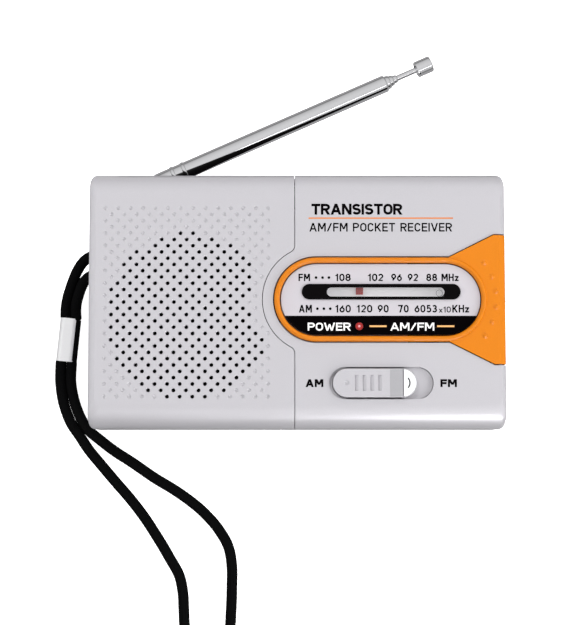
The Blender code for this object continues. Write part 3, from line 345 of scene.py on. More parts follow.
def surface(name, colour, roughness, metallic, grain, mottle, relief, uneven=0.05, **sockets):
    """A procedural material: fine grain that varies its colour, its gloss and its surface."""
    material = bpy.data.materials.new(name)
    material.use_nodes = True
    tree = material.node_tree
    shader = tree.nodes["Principled BSDF"]
    shader.inputs["Metallic"].default_value = metallic
    for socket, value in sockets.items():
        shader.inputs[socket.replace("_", " ")].default_value = value
    place = tree.nodes.new("ShaderNodeTexCoord")

    def noise(size, detail):
        node = tree.nodes.new("ShaderNodeTexNoise")
        node.inputs["Scale"].default_value = 1 / size
        node.inputs["Detail"].default_value = detail
        tree.links.new(place.outputs["Object"], node.inputs["Vector"])
        return node.outputs["Fac"]

    fine, broad = noise(grain, 3), noise(0.02, 2)
    tint = tree.nodes.new("ShaderNodeMix")
    tint.data_type = "RGBA"
    tint.inputs["A"].default_value = (*(min(1, part * (1 - mottle)) for part in colour), 1)
    tint.inputs["B"].default_value = (*(min(1, part * (1 + mottle)) for part in colour), 1)
    tree.links.new(fine, tint.inputs["Factor"])
    tree.links.new(tint.outputs["Result"], shader.inputs["Base Color"])
    gloss = tree.nodes.new("ShaderNodeMapRange")
    gloss.inputs["To Min"].default_value = roughness - uneven
    gloss.inputs["To Max"].default_value = roughness + uneven
    tree.links.new(broad, gloss.inputs["Value"])
    tree.links.new(gloss.outputs["Result"], shader.inputs["Roughness"])
    if relief:
        bump = tree.nodes.new("ShaderNodeBump")
        bump.inputs["Strength"].default_value = 1.0
        bump.inputs["Distance"].default_value = relief
        tree.links.new(fine, bump.inputs["Height"])
        tree.links.new(bump.outputs["Normal"], shader.inputs["Normal"])
    return material


SILVER = surface("silver_moulding", (0.537, 0.525, 0.552), 0.33, 0.25, 0.00025, 0.06, 4e-6)
SILVER_DARK = surface(
    "silver_moulding_inset", (0.41, 0.405, 0.423), 0.45, 0.25, 0.00025, 0.05, 4e-6
)
SILVER_PALE = surface("pale_moulding", (0.93, 0.93, 0.94), 0.3, 0.0, 0.0003, 0.01, 2e-6)
PLATE = surface("dial_lacquer", (0.575, 0.55, 0.585), 0.36, 0.2, 0.00025, 0.03, 3e-6)
GLINT = {"Specular_IOR_Level": 0.35}
ORANGE = surface("orange_moulding", (0.64, 0.187, 0.004), 0.25, 0.0, 0.0004, 0.05, 2.5e-6, **GLINT)
WHITE = surface("white_moulding", (0.9, 0.89, 0.9), 0.4, 0.0, 0.0004, 0.02, 3e-6)
BLACK = surface(
    "black_moulding", (0.002, 0.0015, 0.0018), 0.4, 0.0, 0.0003, 0.1, 2e-6, Specular_IOR_Level=0.05
)
BLACK_INK = surface(
    "black_ink", (0.0018, 0.0012, 0.0016), 0.55, 0.0, 0.0002, 0.15, 1e-6, Specular_IOR_Level=0.01
)
WHITE_INK = surface("white_ink", (0.93, 0.93, 0.93), 0.55, 0.0, 0.0002, 0.02, 1e-6)
ORANGE_INK = surface("orange_ink", (0.66, 0.2, 0.03), 0.5, 0.0, 0.0002, 0.05, 1e-6)
TAN_INK = surface("tan_ink", (0.78, 0.43, 0.16), 0.5, 0.0, 0.0002, 0.05, 1e-6)
DARK_GREY = surface("dark_grey_moulding", (0.045, 0.045, 0.05), 0.5, 0.0, 0.0003, 0.15, 6e-6)
RED = surface("red_moulding", (0.38, 0.045, 0.045), 0.35, 0.0, 0.0004, 0.05, 2e-6)
LENS_RED = surface("red_lens", (0.33, 0.02, 0.02), 0.12, 0.0, 0.0006, 0.1, 0, 0.03)
LENS_CORE = surface("pink_lens", (0.85, 0.35, 0.38), 0.15, 0.0, 0.0006, 0.05, 0, 0.03)
CHROME = surface("bright_plating", (0.97, 0.97, 0.985), 0.04, 1.0, 0.0008, 0.02, 2e-7, 0.02)
SATIN = surface("satin_plating", (0.97, 0.97, 0.98), 0.3, 0.6, 0.0004, 0.03, 3e-6)
# A grey for painted shade that outlines the slot's rounded end.
SLOT_END_PAINTED_SHADE = surface("pale_grey_painted_shade", (0.35, 0.34, 0.36), 0.5, 0.0, 0.0004, 0.02, 2e-6)
# The speaker's basket steel is painted near black as the shade behind the grille's holes, and the magnet takes the
# same.
HOLE_SHADE_STEEL = surface("steel_painted_hole_shade", (0.012, 0.012, 0.013), 0.6, 0.5, 0.0005, 0.2, 4e-6)
# The backing glows faintly though it is no lamp: painted light that brightens the deep slot, which the lamps reach
# only in part.
PAINTED_EMISSION = {"Emission_Color": (1, 0.99, 1, 1), "Emission_Strength": 0.14}
SLOT_FLOOR_PAINTED_LIGHT = surface("white_slot_floor_painted_light", (0.98, 0.98, 0.99), 0.5, 0.0, 0.0004, 0.02, 2e-6, **PAINTED_EMISSION)
STEEL = surface("zinc_plating", (0.52, 0.52, 0.53), 0.35, 1.0, 0.0005, 0.15, 4e-6)
BRASS = surface("turned_brass", (0.72, 0.5, 0.2), 0.3, 1.0, 0.0005, 0.1, 3e-6)
FERRITE = surface("sintered_ferrite", (0.05, 0.045, 0.045), 0.75, 0.0, 0.0004, 0.3, 2e-5)
COPPER = surface("enamelled_copper", (0.62, 0.25, 0.1), 0.35, 0.8, 0.0003, 0.2, 2e-5)
BOARD = surface("lacquered_board", (0.02, 0.16, 0.07), 0.35, 0.0, 0.002, 0.25, 1e-5)
PAPER = surface("pressed_paper", (0.02, 0.019, 0.018), 0.95, 0.0, 0.0006, 0.35, 3e-5)
SLEEVE = surface("cell_sleeve", (0.04, 0.1, 0.28), 0.3, 0.3, 0.001, 0.05, 2e-6)
SLEEVE_BAND = surface("cell_sleeve_band", (0.7, 0.5, 0.2), 0.3, 0.6, 0.001, 0.05, 2e-6)
NYLON = surface(
    "black_nylon", (0.0025, 0.0025, 0.0027), 0.85, 0.0, 0.00025, 0.4, 2e-5, Specular_IOR_Level=0.04
)
CLEAR = surface("clear_window", (0.95, 0.95, 0.95), 0.06, 0.0, 0.002, 0.0, 0, 0.02, Alpha=0.02)

CAD_FINISHES = {
    "silver_plastic": SILVER,
    "orange_plastic": ORANGE,
    "white_plastic": WHITE,
    "black_plastic": BLACK,
    "dark_grey_plastic": DARK_GREY,
    "red_plastic": RED,
    "clear_plastic": CLEAR,
    "chrome": CHROME,
    "steel": STEEL,
    "brass": BRASS,
    "ferrite": FERRITE,
    "copper": COPPER,
    "board": BOARD,
    "cone": PAPER,
    "cell_sleeve": SLEEVE,
    "cord": NYLON,
}
# The dial's backing takes the painted glow.
# The speaker's basket and magnet take painted shade that darkens the grille's holes.
NODE_FINISHES = {"speaker_basket": HOLE_SHADE_STEEL, "speaker_magnet": HOLE_SHADE_STEEL, "dial_backing": SLOT_FLOOR_PAINTED_LIGHT}


def refinish_cad_nodes():
    slots = {row["node"]: row["material_slot"] for row in frame["record"]["subparts"]}
    for name, obj in frame["nodes"].items():
        obj.data.materials.clear()
        obj.data.materials.append(NODE_FINISHES.get(name, CAD_FINISHES[slots[name]]))


# ---------------------------------------------------------------- solids


def made(name, data):
    obj = bpy.data.objects.new(name, data)
    bpy.context.scene.collection.objects.link(obj)
    return obj


def from_bmesh(name, shape):
    bmesh.ops.recalc_face_normals(shape, faces=shape.faces)
    mesh = bpy.data.meshes.new(name)
    shape.to_mesh(mesh)
    shape.free()
    return made(name, mesh)


def settle(obj):
    """Turns an object into a plain mesh in the model's frame, its modifiers applied."""
    bpy.context.view_layer.update()
    graph = bpy.context.evaluated_depsgraph_get()
    mesh = bpy.data.meshes.new_from_object(obj.evaluated_get(graph))
    mesh.transform(obj.matrix_world)
    if obj.matrix_world.determinant() < 0:
        mesh.flip_normals()
    name = obj.name
    bpy.data.objects.remove(obj)
    mesh.name = name
    return made(name, mesh)


def carve(target, operation, others):
    """Applies a Boolean with each of the others, which are used up."""
    name = target.name
    for other in others:
        modifier = target.modifiers.new(other.name, "BOOLEAN")
        modifier.operation = operation
        modifier.solver = "EXACT"
        modifier.object = other
    target = settle(target)
    target.name = name
    for other in others:
        bpy.data.objects.remove(other)
    return target


def cut(target, *others):
    return carve(target, "DIFFERENCE", others)


def add(target, *others):
    return carve(target, "UNION", others)


def box(name, low, high):
    low, high = Vector(low), Vector(high)
    shape = bmesh.new()
    matrix = Matrix.Translation((low + high) / 2) @ Matrix.Diagonal((*(high - low), 1))
    bmesh.ops.create_cube(shape, size=1, matrix=matrix)
    return from_bmesh(name, shape)


def cylinder(name, radius, start, end, sides=32):
    start, end = Vector(start), Vector(end)
    along = end - start
    turn = along.to_track_quat("Z", "Y").to_matrix().to_4x4()
    shape = bmesh.new()
    bmesh.ops.create_cone(
        shape,
        cap_ends=True,
        segments=sides,
        radius1=radius,
        radius2=radius,
        depth=along.length,
        matrix=Matrix.Translation((start + end) / 2) @ turn,
    )
    return from_bmesh(name, shape)


def upright(name, radius, x, y, low, high, sides=32):
    return cylinder(name, radius, (x, y, low), (x, y, high), sides)


def turned_rows(shape, profile, x=0, y=0, sides=64):
    """A row of vertices for each (radius, height) of a profile, a single one on the axis."""
    rows = []
    for radius, height in profile:
        outline = circle(x, y, radius, sides) if radius else [(x, y)]
        rows.append([shape.verts.new(point) for point in raised(outline, height)])
    return rows


def bridge(shape, rows):
    """Faces from each closed row of vertices to the next one. A row may be a single vertex."""
    for row, following in zip(rows, rows[1:]):
        count = max(len(row), len(following))
        for index in range(count):
            after = (index + 1) % count
            corners = {row[index % len(row)]: 0, row[after % len(row)]: 0}
            corners |= {following[after % len(following)]: 0, following[index % len(following)]: 0}
            if len(corners) > 2:
                shape.faces.new(list(corners))


def turned(name, profile, place, sides=64, ring=False):
    """A turned solid from (radius, height) points down its outer side, put in place by a matrix."""
    shape = bmesh.new()
    rows = turned_rows(shape, profile, sides=sides)
    bridge(shape, rows + rows[:1] if ring else rows)
    shape.transform(place)
    return from_bmesh(name, shape)


def loft(name, rings, closed_ends=True):
    shape = bmesh.new()
    rows = [[shape.verts.new(point) for point in ring] for ring in rings]
    bridge(shape, rows if closed_ends else rows + rows[:1])
    if closed_ends:
        shape.faces.new(rows[0])
        shape.faces.new(rows[-1])
    return from_bmesh(name, shape)


def plate(name, outlines, low, high, edge=0.0):
    """A flat piece between two heights, holes included, with its edges rounded by edge."""
    curve = bpy.data.curves.new(name, "CURVE")
    curve.dimensions = "2D"
    curve.fill_mode = "BOTH"
    curve.extrude = (high - low) / 2 - edge
    curve.bevel_depth = edge
    curve.bevel_resolution = 3
    curve.offset = -edge
    for outline in outlines:
        spline = curve.splines.new("POLY")
        spline.points.add(len(outline) - 1)
        for point, (x, y) in zip(spline.points, outline):
            point.co = (x, y, 0, 1)
        spline.use_cyclic_u = True
    drawn = made(name, curve)
    drawn.location.z = (low + high) / 2
    drawn = settle(drawn)
    shape = bmesh.new()
    shape.from_mesh(drawn.data)
    bpy.data.objects.remove(drawn)
    bmesh.ops.remove_doubles(shape, verts=shape.verts, dist=1e-7)
    return from_bmesh(name, shape)


def piece(obj, material, body, slot, replaced=(), sharp=30, flat=True):
    """Gives a finished piece its material, its body and its row in the table."""
    obj.data.materials.clear()
    obj.data.materials.append(material)
    obj.data.shade_smooth()
    obj.data.set_sharp_from_angle(angle=math.radians(sharp))
    if flat:
        level = obj.modifiers.new("flat_faces_stay_flat", "WEIGHTED_NORMAL")
        level.keep_sharp = True
    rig.ride(obj, body)
    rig.slot(obj, slot)
    if replaced:
        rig.replaces(obj, *replaced)
    return obj


# ---------------------------------------------------------------- outlines


def arc(x, y, radius, start_deg, end_deg, steps):
    points = []
    for step in range(steps + 1):
        angle = math.radians(start_deg + (end_deg - start_deg) * step / steps)
        points.append((x + radius * math.cos(angle), y + radius * math.sin(angle)))
    return points


def pill(left, right, middle_y, radius, steps=24):
    right_end = arc(right - radius, middle_y, radius, -90, 90, steps)
    return right_end + arc(left + radius, middle_y, radius, 90, 270, steps)


def circle(x, y, radius, sides=24):
    return arc(x, y, radius, 0, 360, sides)[:-1]


def raised(outline, z):
    return [(x, y, z) for x, y, *_ in outline]


def rounded_rectangle(left, right, half_height, radius, steps=10):
    x0, x1, y = left + radius, right - radius, half_height - radius
    points = []
    for cx, cy, turn in ((x1, y, 0), (x0, y, 90), (x0, -y, 180), (x1, -y, 270)):
        points += arc(cx, cy, radius, turn, turn + 90, steps)
    return points


def seam(shift):
    """The seam between speaker panel and front case, from past the top side to past the bottom."""
    fillet_x = SEAM_X - SEAM_FILLET
    reach = DIAL_X - fillet_x
    rise = math.sqrt((SEAM_RADIUS + SEAM_FILLET) ** 2 - reach**2)
    turn = math.degrees(math.atan2(rise, reach))
    fillet = SEAM_FILLET - shift
    points = [(SEAM_X - shift, BODY_HEIGHT)]
    points += arc(fillet_x, rise, fillet, 0, -turn, 8)
    points += arc(DIAL_X, 0, SEAM_RADIUS + shift, 180 - turn, 180 + turn, 60)
    points += arc(fillet_x, -rise, fillet, turn, 0, 8)
    points.append((SEAM_X - shift, -BODY_HEIGHT))
    return points


def surround_outline(grow):
    near, far = SURROUND_RADIUS + grow, SURROUND_HALF_HEIGHT + grow
    flare = [(SURROUND_FLARE_X, -near), (SURROUND_WIDE_X, -far), (BODY_WIDTH, -far)]
    flare += [(x, -y) for x, y in reversed(flare)]
    return arc(DIAL_X, 0, near, 90, 270, 60) + flare


def smooth_route(route, spacing):
    """Evenly spaced points on a smooth curve through the route's own points."""
    fine, parts = [], 16
    guides = [2 * Vector(route[0]) - Vector(route[1]), *map(Vector, route)]
    guides.append(2 * Vector(route[-1]) - Vector(route[-2]))
    for before, start, end, after in zip(guides, guides[1:], guides[2:], guides[3:]):
        for step in range(parts):
            t = step / parts
            straight = 2 * start + t * (end - before)
            bent = t * t * (2 * before - 5 * start + 4 * end - after)
            fine.append((straight + bent + t**3 * (3 * start - before - 3 * end + after)) / 2)
    fine.append(guides[-2])
    lengths = [(b - a).length for a, b in zip(fine, fine[1:])]
    count = max(2, round(sum(lengths) / spacing))
    points, travelled, index = [fine[0]], 0.0, 0
    for number in range(1, count):
        wanted = sum(lengths) * number / count
        while travelled + lengths[index] < wanted:
            travelled += lengths[index]
            index += 1
        points.append(fine[index].lerp(fine[index + 1], (wanted - travelled) / lengths[index]))
    points.append(fine[-1])
    return points


# ---------------------------------------------------------------- camera and cords


def make_camera():
    camera = bpy.data.cameras.new("photo_camera")
    camera.lens = 94.35
    camera.sensor_width = 36
    camera.clip_start = 0.01
    obj = made("photo_camera", camera)
    obj.location = (-0.00357, -0.04284, 0.47229)
    obj.rotation_euler = (math.radians(5), 0, 0)
    bpy.context.scene.camera = obj


def woven_cord(name, route):
    """A braided cord along a route: strands wind both ways round it and stand a little proud."""
    spacing, sides = 0.00028, 36
    first, second, *_, last_but_one, last = map(Vector, route)
    before = first + CORD_RUN_ON * (first - second).normalized()
    after = last + CORD_RUN_ON * (last - last_but_one).normalized()
    points = smooth_route([before, *route, after], spacing)
    step = (points[1] - points[0]).length
    strands, pitch, relief = 8, 0.0052, 0.00012
    end_taper, narrowest = 0.0006, 0.65
    across = Vector((0, 0, 1))
    rings = []
    for index, point in enumerate(points):
        ahead = points[min(index + 1, len(points) - 1)] - points[max(index - 1, 0)]
        ahead.normalize()
        across = (across - across.dot(ahead) * ahead).normalized()
        beside = ahead.cross(across)
        wind = 2 * math.pi * index * step / pitch * strands / 2
        inward = min(1, min(index, len(points) - 1 - index) * step / end_taper)
        shrink = narrowest + (1 - narrowest) * math.sqrt(1 - (1 - inward) ** 2)
        ring = []
        for side in range(sides):
            angle = 2 * math.pi * side / sides
            rise = max(abs(math.cos((strands * angle + way * wind) / 2)) for way in (1, -1))
            reach = (WOVEN_RADIUS - relief * (1 - rise)) * shrink
            ring.append(point + reach * (math.cos(angle) * across + math.sin(angle) * beside))
        rings.append(ring)
    return loft(name, rings), points


def route_length(points):
    return sum((b - a).length for a, b in zip(points, points[1:]))


def make_strap():
    eyelet, eyelet_points = woven_cord("strap_eyelet_cord_woven", EYELET_ROUTE)
    piece(eyelet, NYLON, "case", "cord", ["strap_eyelet_cord"], 60, False)
    hand, hand_points = woven_cord("strap_hand_cord_woven", HAND_LOOP_ROUTE)
    piece(hand, NYLON, "case", "cord", ["strap_hand_cord"], 60, False)
    clip, lining = make_ferrule()
    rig.cord(
        eyelet,
        exit=EYELET_ROUTE[0],
        length=route_length(eyelet_points),
        diameter=2 * WOVEN_RADIUS,
        far_end="object",
        stiffness="limp",
        lay="loose",
        path=[tuple(point) for point in eyelet_points[::4]] + [tuple(eyelet_points[-1])],
        with_pieces=[clip, lining],
    )
    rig.cord(
        hand,
        exit=HAND_LOOP_ROUTE[0],
        length=route_length(hand_points),
        diameter=2 * WOVEN_RADIUS,
        far_end="object",
        stiffness="limp",
        lay="loose",
        path=[tuple(point) for point in hand_points[::4]] + [tuple(hand_points[-1])],
    )


def make_ferrule():
    """The flat metal clip that holds the cords together, and the strip of cord at its side."""
    axis = FERRULE_BOTTOM - FERRULE_TOP
    along = axis.normalized()
    up = Vector((0, 0, 1))
    turn = Matrix((up.cross(along).normalized(), up, along)).transposed().to_4x4()
    place = Matrix.Translation(FERRULE_TOP) @ turn
    half, thick, cord_strip = FERRULE_HALF_WIDTH, FERRULE_HALF_THICKNESS, 0.0007
    end, flare = 0.0004, 0.00008
    rings = []
    for height, grow in ((0, flare), (end, 0.0), (axis.length - end, 0.0), (axis.length, flare)):
        outline = pill(-half - grow, half - cord_strip + grow, 0, thick + grow, 16)
        rings.append(raised(outline, height))
    clip = loft("strap_ferrule_clip", rings)
    clip.data.transform(place)
    piece(clip, SATIN, "case", "chrome", ["strap_ferrule"], 50)
    outline = pill(half - 0.0026, half, 0, 0.0013, 16)
    rings = [raised(outline, height) for height in (0.0003, axis.length - 0.0003)]
    lining = loft("strap_ferrule_lining", rings)
    lining.data.transform(place)
    piece(lining, NYLON, "case", "cord", (), 50)
    return clip, lining


# ---------------------------------------------------------------- case


def bevelled_sides(z):
    """How far the left and the right side lean in at this height."""
    share = max(0.0, (z - SIDE_BEVEL_LOW_Z) / (BODY_DEPTH - SIDE_BEVEL_LOW_Z)) ** 1.6
    return SIDE_BEVEL_LEFT * share, SIDE_BEVEL_RIGHT * share


def front_ring(inset, side, angle_deg):
    angle = math.radians(angle_deg)
    radius = SHOULDER_RADIUS - inset
    z = BODY_DEPTH - SHOULDER_RADIUS + radius * math.sin(angle)
    left, right = bevelled_sides(z) if inset == 0 else (0, 0)
    half_height = HALF_HEIGHT - SHOULDER_RADIUS + radius * math.cos(angle)
    corner = CORNER_RADIUS - min(side, 0.0012)
    left, right = -HALF_WIDTH + side + left, HALF_WIDTH - side - right
    return raised(rounded_rectangle(left, right, half_height, corner), z)


def shell(name, outer, inner, rim_z):
    """A hollow half of the case, from rings up its outside and down its inside, open at its rim."""
    return loft(name, [*inner, raised(inner[-1], rim_z), raised(outer[0], rim_z), *outer])


def front_half(name, shift, far_x):
    """The front of the case with what lies past the seam, towards far_x, cut away."""
    outer = [front_ring(0, 0, 90 * step / 30) for step in range(31)]
    inner = [front_ring(FACE_WALL, SIDE_WALL, angle) for angle in (90, 75, 60, 45, 30, 15, 0)]
    half = shell(name, outer, inner, PARTING_Z + SEAM_GAP / 2)
    far_side = [(far_x, -BODY_HEIGHT), (far_x, BODY_HEIGHT)]
    half = cut(half, plate("past_seam", [seam(shift) + far_side], 0, BODY_WIDTH))
    return ease_seam(half, shift)


def back_ring(inset, side_inset, radius, angle_deg):
    angle = math.radians(angle_deg)
    pull = radius * (1 - math.cos(angle))
    z = inset + radius * (1 - math.sin(angle))
    corner = CORNER_RADIUS - min(side_inset, 0.0012)
    half = HALF_WIDTH - side_inset - pull
    return raised(rounded_rectangle(-half, half, HALF_HEIGHT - inset - pull, corner), z)


def back_edge_rings():
    return [back_ring(0, 0, BACK_EDGE_RADIUS, 90 * step / 9) for step in range(10)]


def back_shell(name):
    radius = BACK_EDGE_RADIUS - FACE_WALL
    inner = [back_ring(FACE_WALL, SIDE_WALL, radius, angle) for angle in (90, 45, 0)]
    return shell(name, back_edge_rings(), inner, PARTING_Z - SEAM_GAP / 2)


def seam_distance(x, y, path):
    here = Vector((x, y))
    best = 1.0
    for (ax, ay), (bx, by) in zip(path, path[1:]):
        start, line = Vector((ax, ay)), Vector((bx - ax, by - ay))
        share = max(0.0, min(1.0, (here - start).dot(line) / line.length_squared))
        best = min(best, (here - start - share * line).length)
    return best


def ease_seam(obj, shift):
    """Bevels the outer edge that the seam's cut left on a half of the front."""
    path, near, shoulder_z = seam(shift), 2e-6, 0.0165
    shape = bmesh.new()
    shape.from_mesh(obj.data)
    on_cut = {}
    for vert in shape.verts:
        on_cut[vert] = seam_distance(vert.co.x, vert.co.y, path) < near
    edges = []
    for edge in shape.edges:
        if len(edge.link_faces) != 2 or not all(on_cut[vert] for vert in edge.verts):
            continue
        walls = [all(on_cut[vert] for vert in face.verts) for face in edge.link_faces]
        if walls[0] == walls[1]:
            continue
        skin = edge.link_faces[0] if walls[1] else edge.link_faces[1]
        middle = (edge.verts[0].co + edge.verts[1].co) / 2
        faces_out = skin.normal.dot(middle - Vector((0, 0, PARTING_Z))) > 0
        if skin.normal.z > 0.05 and middle.z > shoulder_z and faces_out:
            edges.append(edge)
    bmesh.ops.bevel(
        shape,
        geom=edges,
        offset=0.0004,
        segments=3,
        profile=0.5,
        affect="EDGES",
        clamp_overlap=True,
    )
    shape.to_mesh(obj.data)
    shape.free()
    return obj


def front_screw_bosses(target, places):
    pillars, holes = [], []
    for number, (x, y) in enumerate(places):
        low = PARTING_Z + SEAM_GAP / 2 + 0.0002
        pillars.append(upright(f"boss_{number}", 0.0029, x, y, low, INNER_FACE_Z + 0.0006, 24))
        holes.append(upright(f"boss_hole_{number}", 0.00145, x, y, low - BEYOND, 0.0205, 24))
    return cut(add(target, *pillars), *holes)


def wheel_window(name, x, y, radius):
    half = math.sqrt(radius**2 - (INNER_HALF_WIDTH - x) ** 2) + 0.0007
    corner = (INNER_HALF_WIDTH - 0.001, y - half, WHEEL_LOW_Z - WHEEL_SLOT_GAP)
    return box(name, corner, (HALF_WIDTH + BEYOND, y + half, WHEEL_HIGH_Z + WHEEL_SLOT_GAP))


def add_cutter(shape, x, y, steps):
    """Adds a small turned cutter to a mesh, from its (radius, height above the face) steps."""
    profile = [(radius, BODY_DEPTH + height) for radius, height in steps]
    rows = turned_rows(shape, profile, x, y, 20)
    bridge(shape, rows)
    for row in (rows[0], rows[-1]):
        if len(row) > 1:
            shape.faces.new(row)


def grille_cutters():
    """Holes inside the grille's circle, and shallow dimples at the pattern's other places."""
    holes, dimples = bmesh.new(), bmesh.new()
    above, radius, eased = 0.001, GRILLE_HOLE_RADIUS, GRILLE_HOLE_RADIUS + 0.0001
    hole_steps = ((radius, -0.004), (radius, -0.00009), (eased, 0.0), (eased, above))
    dimple_steps = [
        (DIMPLE_RADIUS * share, -DIMPLE_DEPTH * (1 - share**4))
        for share in (0.0, 0.3, 0.55, 0.7, 0.8, 0.88, 0.95, 1.03)
    ]
    dimple_steps.append((DIMPLE_RADIUS * 1.03, above))
    for row in range(GRILLE_ROWS):
        odd = row % 2
        y = GRILLE_FIRST_Y - row * GRILLE_ROW_STEP
        for column in range(GRILLE_COLUMNS - odd):
            x = GRILLE_FIRST_X + (column + odd / 2) * GRILLE_PITCH
            in_circle = math.hypot(x - GRILLE_X, y - GRILLE_Y) <= GRILLE_RADIUS
            dial_distance = math.hypot(x - DIAL_X, y)
            if in_circle and dial_distance >= GRILLE_DIAL_CLEARANCE:
                add_cutter(holes, x, y, hole_steps)
            elif dial_distance >= SEAM_RADIUS + 0.0012 and x < SEAM_X - 0.002:
                add_cutter(dimples, x, y, dimple_steps)
    return from_bmesh("grille_holes", holes), from_bmesh("grille_dimples", dimples)


def make_speaker_panel():
    panel = front_half("speaker_panel_skin", FRONT_GAP / 2, BODY_WIDTH)
    panel = front_screw_bosses(panel, CASE_SCREWS[:2])
    panel = cut(panel, *grille_cutters())
    piece(panel, SILVER, "case", "silver_plastic", ["speaker_panel"], 22)


def narrow_trenches():
    """Deep, narrow gaps that outline the surround, the dial and the switch's button."""
    low, bed_top = 0.0221, SURROUND_BED_Z + 0.0001
    near = [(min(x, BODY_WIDTH - 0.01), y) for x, y in surround_outline(-0.0004)]
    yield plate("surround_trench", [surround_outline(TRENCH_WIDTH), near], low, bed_top)
    dial = [pill(DIAL_X - r, DIAL_RIGHT_X + r, 0, r, 32) for r in (0.0105, 0.0093)]
    yield plate("dial_trench", dial, low, bed_top)

    def crescent(name, x, outer, inner, start_deg, end_deg, low):
        outline = arc(x, SWITCH_Y, outer, start_deg, end_deg, 24)
        outline += arc(x, SWITCH_Y, inner, end_deg, start_deg, 24)
        return plate(name, [outline], low, SWITCH_BED_Z + 0.0001)

    left_x = BUTTON_LEFT_X + BUTTON_HALF_HEIGHT
    inner, outer = BUTTON_HALF_HEIGHT - 0.0004, BUTTON_HALF_HEIGHT + TRENCH_WIDTH
    yield crescent("switch_trench_left", left_x, outer, inner, 90, 270, 0.0216)
    half = SWITCH_SLOT_HEIGHT / 2
    right_x = SWITCH_X + SWITCH_SLOT_LENGTH / 2 - half
    yield crescent("switch_trench_right", right_x, half, half - TRENCH_WIDTH, -80, 80, 0.0224)
    fade_x, end_x = 0.0286, 0.031
    for way in (1, -1):
        near, far = SWITCH_Y + way * inner, SWITCH_Y + way * (half + 0.0001)
        outline = [(left_x, near), (fade_x, near), (fade_x, SWITCH_Y + way * outer)]
        outline += [(end_x, far), (left_x - 0.0003, far)]
        yield plate(f"switch_trench_{way}", [outline], 0.0206, SWITCH_BED_Z + 0.0001)


def make_front_case():
    case = front_half("front_case_skin", -FRONT_GAP / 2, -BODY_WIDTH)
    bed = plate("surround_bed", [surround_outline(TRENCH_WIDTH)], 0, BODY_WIDTH)
    under = (HALF_WIDTH - SURROUND_SIDE, HALF_HEIGHT, SURROUND_BED_Z)
    bed = cut(bed, box("surround_underlay", (-HALF_WIDTH, -HALF_HEIGHT, -BODY_DEPTH), under))
    window = pill(SLOT_LEFT_X - 0.001, SLOT_RIGHT_X + 0.001, SLOT_Y, SLOT_HALF + 0.0007)
    half = SWITCH_SLOT_LENGTH / 2
    switch_bed = pill(SWITCH_X - half, SWITCH_X + half, SWITCH_Y, SWITCH_SLOT_HEIGHT / 2, 32)
    stem_low = (STEM_LEFT_X - 0.0006, SWITCH_Y - STEM_HALF - 0.0004, INNER_FACE_Z - BEYOND)
    stem_high = (STEM_RIGHT_X + SWITCH_TRAVEL + 0.0006, SWITCH_Y + STEM_HALF + 0.0004, BODY_DEPTH)
    jack_end = (HALF_WIDTH + BEYOND, JACK_Y, JACK_Z)
    case = cut(
        case,
        bed,
        plate("dial_window", [window], INNER_FACE_Z - BEYOND, BODY_DEPTH + BEYOND),
        upright("led_hole", 0.0012, LED_X, LED_Y, INNER_FACE_Z - BEYOND, BODY_DEPTH + BEYOND),
        plate("switch_bed", [switch_bed], SWITCH_BED_Z, BODY_DEPTH + BEYOND),
        box("stem_slot", stem_low, stem_high),
        *narrow_trenches(),
        wheel_window("tuning_window", TUNING_X, 0, TUNING_WHEEL_RADIUS),
        wheel_window("volume_window", VOLUME_X, VOLUME_Y, VOLUME_WHEEL_RADIUS),
        cylinder("jack_hole", 0.0033, (INNER_HALF_WIDTH - 0.001, JACK_Y, JACK_Z), jack_end),
    )
    case = front_screw_bosses(case, CASE_SCREWS[2:])
    pin = upright("pulley_pin", 0.0009, 0.0026, 0.00475, 0.0174, INNER_FACE_Z + 0.0006, 20)
    piece(add(case, pin), SILVER, "case", "silver_plastic", ["front_case"], 22)


